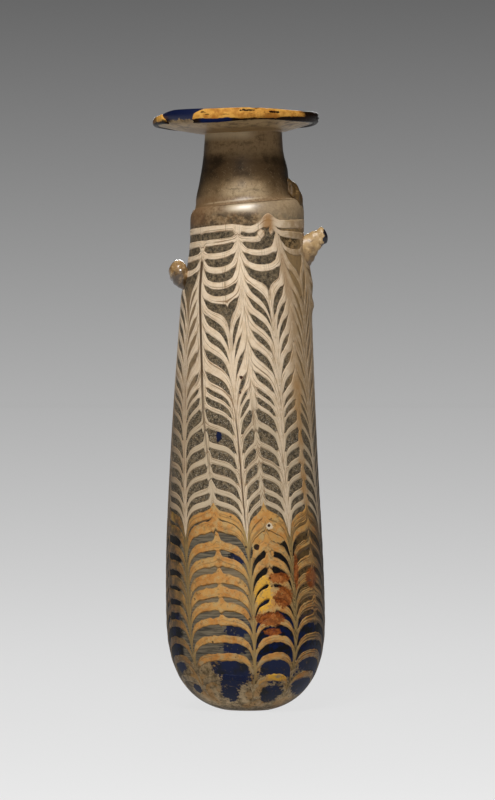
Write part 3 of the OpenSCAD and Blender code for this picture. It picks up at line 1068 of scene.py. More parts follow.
@dataclass(frozen=True)
class WallForm:
    """The body's outer wall: its radius over the height, its lean and its ripple."""

    belly_r: float = 19.9
    belly_z: float = 24.0
    foot_drop: float = 24.5
    foot_power: float = 2.5
    taper: float = 0.05588
    taper_start: float = 24.0
    shoulder_r: float = 14.1
    shoulder_z: float = 123.0
    seat_r: float = 12.1
    seat_z: float = 126.4
    blend: Span = (102.0, 118.0)
    ripple: float = 0.1
    ripple_lengths: Pair = (31.0, 17.0)
    lean: float = 0.45
    lean_length: float = 130.0
    lean_end: float = 2.0
    tilt: float = 0.1
    tilt_rise: Span = (117.0, 126.4)
    tilt_fall: Span = (129.4, 139.4)
    nub: Patch = Patch(84.0, 101.0, 7.0, 1.5)
    nub_out: float = 0.7
    ridge: Patch = Patch(88.0, 108.6, 14.0, 5.0)
    ridge_out: float = 0.85

    def radius(self, z: np.ndarray) -> np.ndarray:
        """The true round wall.

        Args:
            z: Heights.

        Returns:
            The radius at each height.
        """
        depth = np.clip((self.belly_z - z) / self.foot_drop, 0.0, 1.0)
        low = self.belly_r * (1.0 - depth**self.foot_power) ** (1.0 / self.foot_power)
        rise = np.maximum(z - self.belly_z, 0.0)
        curved = rise * rise / (2.0 * self.taper_start)
        run = np.where(rise < self.taper_start, curved, rise - self.taper_start / 2.0)
        high = self.belly_r - self.taper * run
        high = high + (self.shoulder_r - high) * ease(*self.blend, z)
        roll = np.clip((z - self.shoulder_z) / (self.seat_z - self.shoulder_z), 0.0, 1.0)
        high = high - (self.shoulder_r - self.seat_r) * (1.0 - np.sqrt(1.0 - roll * roll))
        return np.where(z < self.belly_z, low, high)

    def uneven(self, angle: np.ndarray, z: np.ndarray) -> np.ndarray:
        """The hand's ripple, and a small nub and a ridge left on the right side.

        Args:
            angle: Angles round the body.
            z: Heights.

        Returns:
            What is added to the radius.
        """
        turn = angle * RADIAN
        long, short = self.ripple_lengths
        waves = np.sin(2.0 * turn + z / long + 1.0) + 0.7 * np.sin(3.0 * turn - z / short)
        nub = self.nub_out * self.nub.bump(angle, z, 2.0)
        return self.ripple * waves + nub + self.ridge_out * self.ridge.bump(angle, z, 4.0)

    def warp(self, points: np.ndarray) -> np.ndarray:
        """Leans the body a little and tilts its shoulder.

        Args:
            points: Points in millimetres.

        Returns:
            The moved points.
        """
        out = points.copy()
        z = points[..., 2]
        below = 1.0 - ease(self.shoulder_z, self.seat_z + self.lean_end, z)
        phase = 2.0 * math.pi * (z - self.shoulder_z) / self.lean_length
        out[..., 0] += self.lean * np.cos(phase) * below
        out[..., 2] += self.tilt * points[..., 0] * hill(self.tilt_rise, self.tilt_fall, z)
        return out

    def place(self, angle: np.ndarray, z: np.ndarray, lift: np.ndarray) -> np.ndarray:
        """Points that stand out of the wall by a lift, leaned and tilted with it."""
        radius = self.radius(z) + self.uneven(angle, z) + lift
        return self.warp(polar(radius, angle * RADIAN, z))


class Recipe:
    """A Geometry Nodes tree with named sizes that is run once to make a mesh."""

    def __init__(self, name: str, sizes: dict[str, Union[int, float]]) -> None:
        """Starts a tree.

        Args:
            name: The tree's name.
            sizes: Its named inputs and their values.
        """
        self.tree = bpy.data.node_groups.new(name, "GeometryNodeTree")
        self.graph = Graph(self.tree)
        self.values: dict[str, Union[int, float]] = {}
        self.tree.interface.new_socket("Geometry", in_out="OUTPUT", socket_type="NodeSocketGeometry")
        for label, value in sizes.items():
            kind = "NodeSocketInt" if isinstance(value, int) else "NodeSocketFloat"
            socket = self.tree.interface.new_socket(label, in_out="INPUT", socket_type=kind)
            self.values[socket.identifier] = value
        self.entry = self.graph.node("NodeGroupInput")

    def given(self, name: str) -> Field:
        """One of the named inputs."""
        return self.entry.output(name)

    def run(
        self, name: str, geometry: Field, material: bpy.types.Material
    ) -> tuple[np.ndarray, bpy.types.Object]:
        """Ends the tree and turns its result into a plain mesh.

        Args:
            name: The piece's name.
            geometry: The tree's last geometry.
            material: The material to set.

        Returns:
            The mesh's points as the tree gave them, and the new object.
        """
        real = self.graph.node("GeometryNodeRealizeInstances", {0: geometry})
        done = self.graph.node("GeometryNodeSetMaterial", {"Geometry": real, "Material": material})
        self.graph.node("NodeGroupOutput", {0: done})
        piece = bpy.data.objects.new(name, bpy.data.meshes.new(name))
        bpy.context.scene.collection.objects.link(piece)
        modifier = piece.modifiers.new("recipe", "NODES")
        modifier.node_group = self.tree
        for identifier, value in self.values.items():
            modifier[identifier] = value
        seen = bpy.context.evaluated_depsgraph_get()
        mesh = bpy.data.meshes.new_from_object(piece.evaluated_get(seen), depsgraph=seen)
        piece.modifiers.remove(modifier)
        bpy.context.scene.collection.objects.unlink(piece)
        piece.data = mesh
        mesh.name = name
        points = np.zeros(len(mesh.vertices) * 3)
        mesh.vertices.foreach_get("co", points)
        return points.reshape(-1, 3), piece

    @staticmethod
    def settle(piece: bpy.types.Object, points: np.ndarray) -> bpy.types.Object:
        """Moves the points of a mesh to their places in millimetres and finishes it."""
        piece.data.vertices.foreach_set("co", (points * MM).ravel())
        return Shop.finish(piece)


class Shop:
    """Turns grids of points into finished pieces."""

    DOUBLES = 1e-6
    SLIVERS = 1e-7

    @staticmethod
    def grid_mesh(name: str, grid: np.ndarray) -> bpy.types.Object:
        """Makes a closed piece from rings of points.

        Args:
            name: The piece's name.
            grid: Rings by points by three, in millimetres; each ring is closed.

        Returns:
            The piece, smooth, with merged poles and outward normals.
        """
        rings, count, _ = grid.shape
        index = np.arange(rings * count).reshape(rings, count)
        right = np.roll(index, -1, axis=1)
        quads = np.stack([index[:-1], right[:-1], right[1:], index[1:]], axis=-1).reshape(-1, 4)
        mesh = bpy.data.meshes.new(name)
        mesh.from_pydata((grid.reshape(-1, 3) * MM).tolist(), [], quads.tolist())
        return Shop.finish(bpy.data.objects.new(name, mesh))

    @staticmethod
    def finish(piece: bpy.types.Object) -> bpy.types.Object:
        """Merges doubles, closes ends, turns faces outward and smooths a piece.

        Args:
            piece: The new object.

        Returns:
            The same object, in the scene.
        """
        work = bmesh.new()
        work.from_mesh(piece.data)
        bmesh.ops.remove_doubles(work, verts=work.verts, dist=Shop.DOUBLES)
        bmesh.ops.dissolve_degenerate(work, edges=work.edges, dist=Shop.SLIVERS)
        bmesh.ops.holes_fill(work, edges=[edge for edge in work.edges if edge.is_boundary], sides=0)
        bmesh.ops.recalc_face_normals(work, faces=work.faces)
        for face in work.faces:
            face.smooth = True
        work.to_mesh(piece.data)
        work.free()
        bpy.context.scene.collection.objects.link(piece)
        return piece

    @staticmethod
    def dress(piece: bpy.types.Object, material: bpy.types.Material, slot: Slot, *nodes: str) -> None:
        """Gives a piece its finish and its place in the frame.

        Args:
            piece: The finished object.
            material: Its material.
            slot: The record's slot for it; not used.
            nodes: The CAD nodes that it stands for.
        """
        piece.data.materials.clear()
        piece.data.materials.append(material)
        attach(piece, ROOT)
        if nodes:
            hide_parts(*nodes)
        LOG.info("%s: %d faces, %s", piece.name, len(piece.data.polygons), material.name)


@dataclass
class Body:
    """The hollow core-formed body with its shoulder."""

    wall: WallForm
    wall_t: float = 3.2
    floor_t: float = 4.0
    chamber_top: float = 118.0
    tube_foot: float = 30.0
    tube_rings: int = 24
    bowl_top: float = 28.0
    bowl_rings: int = 16
    foot_rings: int = 30
    roll_rings: int = 9
    segments: int = 192
    step: float = 1.2

    def chamber(self) -> list[tuple[float, float, float]]:
        """The bore and the chamber from the seat down to the floor.

        Returns:
            The radius, the height and the axis's shift of each ring.
        """
        wall = self.wall
        tube = np.linspace(self.chamber_top, self.tube_foot, self.tube_rings)
        height = np.concatenate([tube, np.linspace(self.bowl_top, self.floor_t, self.bowl_rings)])
        radius = np.minimum(wall.radius(height - self.floor_t), wall.radius(height)) - self.wall_t
        throat_z = self.chamber_top + radius[0] - MOUTH_R
        rings = [(MOUTH_R, wall.seat_z, NECK_X), (MOUTH_R, throat_z, NECK_X)]
        rings += [(max(r, 0.0), z, 0.0) for r, z in zip(radius, height)]
        return rings + [(0.0, self.floor_t, 0.0)]

    def build(self) -> bpy.types.Object:
        """Turns the outer wall, the seat, the bore and the chamber in one closed skin.

        Returns:
            The body.
        """
        wall = self.wall
        foot = wall.belly_z * (1.0 - np.cos(np.linspace(0.0, QUARTER, self.foot_rings)))
        side = np.arange(wall.belly_z + self.step, wall.shoulder_z, self.step)
        roll = np.sin(np.linspace(0.0, QUARTER, self.roll_rings))
        roll = wall.shoulder_z + (wall.seat_z - wall.shoulder_z) * roll
        around = np.linspace(-HALF_TURN, HALF_TURN, self.segments, endpoint=False)
        angle, z = np.meshgrid(around, np.concatenate([foot, side, roll]))
        middle = wall.place(around, np.zeros_like(around), -wall.radius(np.zeros(1))).mean(axis=0)
        rings = [np.tile(middle, (1, self.segments, 1)), wall.place(angle, z, np.zeros_like(z))]
        for radius, height, shift in self.chamber():
            rings.append(polar(radius, around * RADIAN, height, shift)[None])
        return Shop.grid_mesh("body_wall", np.concatenate(rings))

    def dress(self, piece: bpy.types.Object) -> None:
        """Gives the body its weathered glass."""
        Shop.dress(piece, WeatheredCobalt().build(), Slot.COBALT, "body")


@dataclass
class Neck:
    """The neck, set a little left of the body's axis."""

    wall: WallForm
    foot_z: float
    top_z: float
    foot_r: float
    top_r: float = 9.6
    flare: float = 1.25
    skirt_r: float = 13.2
    skirt_drop: float = 0.5
    skirt_bend: Pair = (0.15, 0.2)
    skirt_rings: int = 9
    foot_flare: float = 0.45
    flare_end: float = 0.35
    swell: float = 0.4
    swell_band: Band = ((0.0, 0.22), (0.4, 0.78))
    sway: float = 0.2
    sway_band: Band = ((0.25, 0.5), (0.5, 0.8))
    tenon: float = 1.0
    tenon_t: float = 1.5
    ripple: float = 0.12
    ripple_length: float = 5.0
    rings: int = 40
    first_ring: int = 4
    segments: int = 128

    def outside(self) -> tuple[np.ndarray, np.ndarray, np.ndarray]:
        """The outer profile, from the skirt on the shoulder up to the rim.

        Returns:
            The radius, the height and the axis's shift of each ring.
        """
        share = np.linspace(0.0, 1.0, self.rings)[self.first_ring:]
        radius = self.top_r + (self.foot_r - self.top_r) * (1.0 - share) ** self.flare
        radius = radius + self.foot_flare * (1.0 - ease(0.0, self.flare_end, share))
        radius = radius + self.swell * hill(*self.swell_band, share)
        height = self.foot_z + (self.top_z - self.foot_z) * share
        sway = self.sway * hill(*self.sway_band, share)
        bend = np.linspace(1.0, 0.0, self.skirt_rings + 1)[:-1]
        before, between, after = (1.0 - bend) ** 2, 2.0 * bend * (1.0 - bend), bend**2
        out, up = self.skirt_bend
        skirt_r = radius[0] * before + (radius[0] + out) * between + self.skirt_r * after
        skirt_z = height[0] * before + (self.foot_z + up) * between
        skirt_z = skirt_z + (self.foot_z - self.skirt_drop) * after
        shift = np.concatenate([NECK_X * (1.0 - bend), NECK_X + sway])
        return np.concatenate([skirt_r, radius]), np.concatenate([skirt_z, height]), shift

    def build(self) -> bpy.types.Object:
        """Turns the neck with a skirt that flows out over the shoulder.

        Returns:
            The neck.
        """
        radius, height, shift = self.outside()
        inside_r = [self.top_r, self.top_r - self.tenon_t, MOUTH_R, MOUTH_R]
        inside_z = [self.top_z + self.tenon, self.top_z + self.tenon, self.top_z, self.foot_z]
        shift = np.concatenate([[NECK_X], shift, [NECK_X] * len(inside_r)])[:, None]
        radius = np.concatenate([[MOUTH_R], radius, inside_r])[:, None]
        height = np.concatenate([[self.foot_z], height, inside_z])[:, None]
        turn = np.linspace(-math.pi, math.pi, self.segments, endpoint=False)[None]
        waves = self.ripple * np.sin(2.0 * turn + height / self.ripple_length) * (radius > MOUTH_R)
        return Shop.grid_mesh("neck_wall", self.wall.warp(polar(radius + waves, turn, height, shift)))

    def dress(self, piece: bpy.types.Object) -> None:
        """Gives the neck its filmed glass."""
        finish = FilmedNeck(self.top_z, self.wall.seat_z, self.wall.tilt)
        Shop.dress(piece, finish.build(), Slot.FILMED, "neck")


@dataclass
class Rim:
    """The broad rim disk, off centre on the neck."""

    middle_x: float
    foot_z: float
    top_z: float
    edge_r: float
    edge_rise: float = 2.0
    neck_r: float = 9.62
    fillet: float = 1.4
    fillet_drop: float = 0.5
    fillet_powers: Pair = (2.4, 1.8)
    fillet_rings: int = 9
    rise: float = 0.85
    rise_span: Span = (-9.0, 9.0)
    end_x: float = 18.0
    end_cut: float = 0.85
    dish: float = 0.8
    droop: float = 1.3
    droop_from: float = 0.45
    droop_power: float = 1.5
    tilt: float = -0.006
    tip_z: float = 146.7
    tip_span: Span = (0.74, 1.02)
    tip_pinch: float = 0.4
    wave: float = 0.14
    jags: Pair = (0.45, 0.3)
    film_edge: float = 1.7
    loss_from: float = -62.0
    loss_to: float = -31.0
    segments: int = 160

    @property
    def edge_z(self) -> float:
        """The height of the edge's lower corner."""
        return self.foot_z + self.edge_rise

    @property
    def middle_z(self) -> float:
        """The height of the edge's middle."""
        return (self.edge_z + self.top_z) / 2.0

    def sag(self, points: np.ndarray) -> np.ndarray:
        """Tilts the rim, lets its left end droop, thins its right side and breaks off the right end.

        Args:
            points: Points in millimetres.

        Returns:
            The moved points.
        """
        out = points.copy()
        right, back, up = points[..., 0], points[..., 1], points[..., 2]
        x = right - self.middle_x
        left = np.clip(-x / self.edge_r - self.droop_from, 0.0, 1.0)
        out[..., 2] += self.tilt * x - self.droop * left**self.droop_power
        low = np.clip((self.top_z - up) / (self.top_z - self.edge_z), 0.0, 1.0)
        out[..., 2] += self.rise * low * ease(*self.rise_span, right)
        out[..., 2] += (self.tip_z - out[..., 2]) * ease(*self.tip_span, -x / self.edge_r) * self.tip_pinch
        away = np.hypot(x, back) / self.edge_r
        out[..., 2] += self.wave * away**3 * np.sin(5.0 * np.arctan2(x, -back) + 0.6)
        jag = self.jags[0] * np.sin(up * 5.0 + 1.0) + self.jags[1] * np.sin(back * 3.0 + up * 4.0)
        out[..., 0] -= np.maximum(out[..., 0] - self.end_x - jag, 0.0) * self.end_cut
        return out

    def profile(self) -> list[tuple[float, float, float]]:
        """The disk's section, from the mouth under the disk and over its edge back to the mouth.

        Returns:
            For each ring the radius it starts from, its share of the way to the edge, and its height.
        """
        lip_z = self.top_z - self.dish
        low, top = self.edge_z, self.top_z
        bend = np.linspace(0.0, 1.0, self.fillet_rings)
        fillet_r = self.neck_r + self.fillet * bend ** self.fillet_powers[0]
        fillet_z = self.foot_z - self.fillet_drop * (1.0 - bend) ** self.fillet_powers[1]
        rings = [(MOUTH_R, 0.0, self.foot_z), (MOUTH_R, 0.0, self.foot_z - self.fillet_drop)]
        rings += [(radius, 0.0, height) for radius, height in zip(fillet_r, fillet_z)]
        rings += [(fillet_r[-1], 0.3, self.foot_z + 0.6), (fillet_r[-1], 0.6, self.foot_z + 1.3)]
        edge = [(0.96, low), (0.985, low + 0.5), (1.0, self.middle_z), (0.99, top - 0.4), (0.965, top)]
        dish = [(0.8, top - 0.1), (0.4, lip_z + 0.3), (0.12, lip_z + 0.1), (0.03, lip_z - 0.1)]
        mouth = [(0.0, lip_z - 0.5), (0.0, self.foot_z)]
        return rings + [(MOUTH_R, share, height) for share, height in edge + dish + mouth]

    def build(self) -> bpy.types.Object:
        """Lofts the disk from the round mouth out to its off-centre edge.

        Returns:
            The disk.
        """
        turn = np.linspace(-math.pi, math.pi, self.segments, endpoint=False)
        off = self.middle_x - NECK_X
        reach = off * np.sin(turn) + np.sqrt(self.edge_r**2 - (off * np.cos(turn)) ** 2)
        rings = []
        for start, share, height in self.profile():
            rings.append(polar(start + (reach - start) * share, turn, height, NECK_X))
        return Shop.grid_mesh("rim_plate", self.sag(np.stack(rings)))

    def dress(self, piece: bpy.types.Object) -> None:
        """Gives the disk its navy and filmed glass."""
        finish = RimGlass(self.edge_z, self.edge_r - self.film_edge, self.middle_x)
        Shop.dress(piece, finish.build(), Slot.COBALT, "rim_disk")


@dataclass
class RimThread:
    """The yellow thread laid round the rim's edge, lost along one stretch."""

    rim: Rim
    out: float = 0.9
    tall: float = 3.5
    sunk: float = 0.25
    # How far above the edge's lower corner the painted shade on the thread's underside reaches.
    under_shade_rise: float = 0.4
    lumps: Noise = (0.45, 3.0, 0.6)
    lump_gain: float = 0.4
    lump_shift: float = 0.02
    thin: float = 0.15
    thin_band: Band = ((0.18, 0.32), (0.5, 0.4))
    end_band: Band = ((0.0, 0.03), (1.0, 0.985))
    end_size: float = 0.15
    end_slant: Pair = (7.0, 5.0)
    end_width: Pair = (7.0, 8.0)
    torn: float = 0.8
    steps: int = 240
    sides: int = 20

    def build(self, material: bpy.types.Material) -> bpy.types.Object:
        """Sweeps a flattened round along the edge.

        Args:
            material: The thread's material.

        Returns:
            The thread.
        """
        rim = self.rim
        sizes = {
            "Radius": rim.edge_r,
            "Start": (rim.loss_to - 90.0) * RADIAN,
            "Sweep": (TURN - (rim.loss_to - rim.loss_from)) * RADIAN,
            "Out": self.out,
            "Tall": self.tall,
        }
        recipe = Recipe("edge_thread", sizes)
        g, given = recipe.graph, recipe.given
        radius_mode = {"mode": "RADIUS"}
        arc_sockets = {
            "Resolution": self.steps,
            "Radius": given("Radius"),
            "Start Angle": given("Start"),
            "Sweep Angle": given("Sweep"),
        }
        arc = g.node("GeometryNodeCurveArc", arc_sockets, settings=radius_mode)
        lumps = g.noise(g.node("GeometryNodeInputPosition"), *self.lumps) - 0.5
        part = g.node("GeometryNodeSplineParameter", None, "Factor")
        ends = g.band(part + lumps * self.lump_shift, *self.end_band)
        worn = g.band(part, *self.thin_band)
        size = 1.0 + lumps * self.lump_gain - worn * self.thin
        size = size * (self.end_size + ends * (1.0 - self.end_size))
        section = {"Resolution": self.sides, "Radius": 1.0}
        ring = g.node("GeometryNodeCurvePrimitiveCircle", section, settings=radius_mode)
        scale = g.join(given("Out"), given("Tall") * 0.5, 1.0)
        ring = g.node("GeometryNodeTransform", {"Geometry": ring, "Scale": scale})
        arc = g.node("GeometryNodeSetCurveRadius", {"Curve": arc, "Radius": size})
        sweep = {"Curve": arc, "Profile Curve": ring, "Fill Caps": True}
        points, piece = recipe.run("rim_band", g.node("GeometryNodeCurveToMesh", sweep), material)
        return recipe.settle(piece, rim.sag(self.tear(points)))

    def tear(self, points: np.ndarray) -> np.ndarray:
        """Slants and frays the thread's two ends and lays it round the rim.

        Args:
            points: Points round the thread's own axis, in millimetres.

        Returns:
            The points in their places, before the rim sags.
        """
        rim, z = self.rim, points[:, 2]
        turn = np.arctan2(points[:, 0], -points[:, 1]) / RADIAN
        rise = z / (self.tall * 0.5)
        frayed = self.torn * (np.sin(z * 9.0) + np.sin(z * 4.3 + 1.0))
        near_to, near_from = (
            np.exp(-(((turn - end) / width) ** 2))
            for end, width in zip((rim.loss_to, rim.loss_from), self.end_width)
        )
        slant = near_to * (self.end_slant[0] * np.maximum(rise, 0.0) + frayed)
        slant = slant - near_from * (self.end_slant[1] * rise + frayed)
        away = np.hypot(points[:, 0], points[:, 1])
        return polar(away, (turn + slant) * RADIAN, z + (rim.middle_z - self.sunk), rim.middle_x)

    def dress(self) -> None:
        """Makes the thread and gives it its ochre glass."""
        material = RimOchre(self.rim.edge_z + self.under_shade_rise).build()
        Shop.dress(self.build(material), material, Slot.YELLOW, "rim_trail")


@dataclass(frozen=True)
class Stroke:
    """One stroke of the comb.

    Its angle and the height where it stops, the half width of its solid stem, how its angle
    drifts over the height, how it takes hold below its top, and how wide it drags.
    """

    angle: float
    top: float
    core: float = 0.4
    drift: Course = ()
    begin: Course = ((0.0, 0.0), (2.2, 1.0))
    wide: float = 1.0


@dataclass(frozen=True)
class Comb:
    """The comb's strokes: where they run and stop, how far they drag, and how they twist."""

    stroke_r: float = 17.0
    up: tuple[Stroke, ...] = (
        Stroke(-100.0, 117.0),
        Stroke(-53.0, 117.0, 0.8, ((18.0, 6.0), (40.0, 6.0), (56.0, 4.0), (74.0, 0.0))),
        Stroke(-10.5, 121.0, 0.7),
        Stroke(
            29.5, 123.0, 0.8,
            ((60.0, 0.0), (88.0, 4.0), (112.0, 4.0), (116.0, 0.0), (119.0, -5.0), (122.0, -8.0)),
        ),
        Stroke(69.0, 118.0),
        Stroke(110.0, 120.0),
        Stroke(150.0, 117.0),
        Stroke(190.0, 121.0),
        Stroke(230.0, 118.0),
    )
    down: tuple[Stroke, ...] = (
        Stroke(-72.0, 107.4, 0.4, ((82.0, -2.5), (93.0, -2.5), (106.0, 2.0))),
        Stroke(
            -25.0, 101.3, 0.6, (),
            ((0.0, 0.0), (1.0, 0.12), (1.8, 0.22), (2.8, 0.42), (4.4, 0.8), (6.0, 1.0)),
        ),
        Stroke(
            11.0, 108.0, 0.8,
            ((36.0, -3.5), (55.0, -2.2), (66.0, -1.8), (76.0, 0.2), (88.0, 2.4), (99.0, 4.0), (104.0, 2.6)),
            ((0.0, 0.0), (1.0, 0.05), (1.8, 0.24), (2.7, 0.5), (3.6, 0.76), (5.0, 1.0)),
        ),
        Stroke(48.0, 113.0, 0.4, ((96.0, 0.0), (112.0, 6.0)), ((0.0, 0.0), (8.0, 1.0)), 1.8),
        Stroke(89.0, 105.8),
        Stroke(130.0, 106.3),
        Stroke(170.0, 106.7),
        Stroke(210.0, 107.2),
        Stroke(250.0, 107.6),
    )
    up_pull: Course = (
        (17.0, 0.0), (25.0, 0.6), (34.0, 1.4), (43.0, 2.4), (50.0, 3.0),
        (60.0, 2.2), (68.0, 2.6), (78.0, 5.5), (90.0, 8.5),
    )
    down_pull: Course = ((5.0, 4.0), (14.0, 7.5), (40.0, 9.0), (60.0, 8.5), (78.0, 10.5), (92.0, 14.0))
    up_reach: Course = ((60.0, 0.6), (84.0, 1.4))
    down_reach: Course = ((30.0, 0.9), (78.0, 1.0), (96.0, 0.85))
    tip_reach: Course = ((1.0, 0.5), (1.5, 1.0))
    up_fade: float = 14.0
    fade_power: float = 0.7
    stem_soft: Course = ((70.0, 0.6), (92.0, 1.9))
    up_foot: Span = (20.0, 25.0)
    up_slim: Span = (82.0, 70.0)
    up_slim_gain: float = 0.75
    up_taper: Course = ((1.0, 0.45), (-8.0, 1.0))
    up_first: Span = (-7.0, -1.0)
    up_over: float = 4.0
    down_slim: Span = (53.0, 46.0)
    down_slim_gain: float = 1.4
    down_taper: Course = ((0.0, 0.12), (-20.0, 1.0))
    down_first: Span = (-5.6, -4.0)
    stem_begin: float = 4.0
    twist: float = 31.0
    twist_top: float = 119.75
    twist_span: float = 105.0
    twist_power: float = 1.6

    def angles(self) -> list[float]:
        """The angles of all strokes in order, with the first one again a turn later."""
        angles = sorted(stroke.angle for stroke in self.up + self.down)
        return angles + [angles[0] + TURN]

    def away(self, g: Graph, angle: Field, height: Field, stroke: Stroke) -> Field:
        """The distance round the body from a stroke, in millimetres."""
        turned = angle - stroke.angle
        if stroke.drift:
            turned = turned - g.course(height, stroke.drift)
        return abs(g.math("WRAP", turned, HALF_TURN, -HALF_TURN)) * (RADIAN * self.stroke_r)

    def near(self, g: Graph, angle: Field, height: Field, upward: bool) -> Field:
        """The distance from the nearest stroke of one direction."""
        strokes = self.up if upward else self.down
        least = self.away(g, angle, height, strokes[0])
        for stroke in strokes[1:]:
            least = g.math("MINIMUM", least, self.away(g, angle, height, stroke))
        return least

    def stems(self, g: Graph, angle: Field, height: Field) -> tuple[Field, Field]:
        """How far the turns are pressed together into solid stems along the strokes.

        Args:
            g: The tree.
            angle: Angles before the twist.
            height: Heights before combing.

        Returns:
            1 in a stem and 0 away from it, and how much of that hangs below a stem's first turn.
        """
        most: Value = 0.0
        hung: Value = 0.0
        soft = g.course(height, self.stem_soft)
        fading = g.smooth(height, *self.up_foot)
        up_slim = g.smooth(height, *self.up_slim) * self.up_slim_gain + 1.0
        down_slim = g.smooth(height, *self.down_slim) * self.down_slim_gain + 1.0
        for stroke in self.up + self.down:
            upward = stroke in self.up
            slim = up_slim if upward else down_slim
            (low, start), (high, end) = self.up_taper if upward else self.down_taper
            first_low, first_high = self.up_first if upward else self.down_first
            begin = stroke.top + (self.up_over if upward else 0.0)
            taper = g.ramp(height, stroke.top + low, stroke.top + high, start, end)
            away = self.away(g, angle, height, stroke) * slim / taper
            first = g.smooth(height, stroke.top + first_low, stroke.top + first_high)
            begun = g.smooth(height, begin, begin - self.stem_begin)
            stem = (1.0 - g.smooth((away - stroke.core) / soft, 0.0, 1.0)) * begun
            most = g.most(stem * fading if upward else stem, most)
            hung = g.most(stem * first, hung)
        return most, hung

    def drag(self, g: Graph, angle: Field, height: Field, upward: bool) -> Field:
        """How far the strokes of one direction drag a point.

        Args:
            g: The tree.
            angle: The point's angle before the twist.
            height: Its height before combing.
            upward: True for the strokes that run up.

        Returns:
            The drag in millimetres.
        """
        strokes = self.up if upward else self.down
        reach = g.course(height, self.up_reach if upward else self.down_reach)
        total: Value = 0.0
        for stroke in strokes:
            below = stroke.top - height
            begun = g.smooth(below, 0.0, self.up_fade) if upward else g.course(below, stroke.begin)
            wide = reach if upward else reach * g.course(below, self.tip_reach) * stroke.wide
            spread = (self.away(g, angle, height, stroke) / wide) ** self.fade_power
            total = g.math("EXPONENT", -spread) * begun + total
        return total * g.course(height, self.up_pull if upward else self.down_pull)

    def turned(self, g: Graph, height: Field) -> Field:
        """The twist of the strokes at a height, in degrees."""
        left = g.ramp(height, self.twist_top - self.twist_span, self.twist_top, 0.0, 1.0)
        return (1.0 - left**self.twist_power) * self.twist


@dataclass
class Line:
    """A thread's course before combing: its middle, its width and how far its ends lean."""

    middle: Field
    width: Field
    lean: Value = 0.0


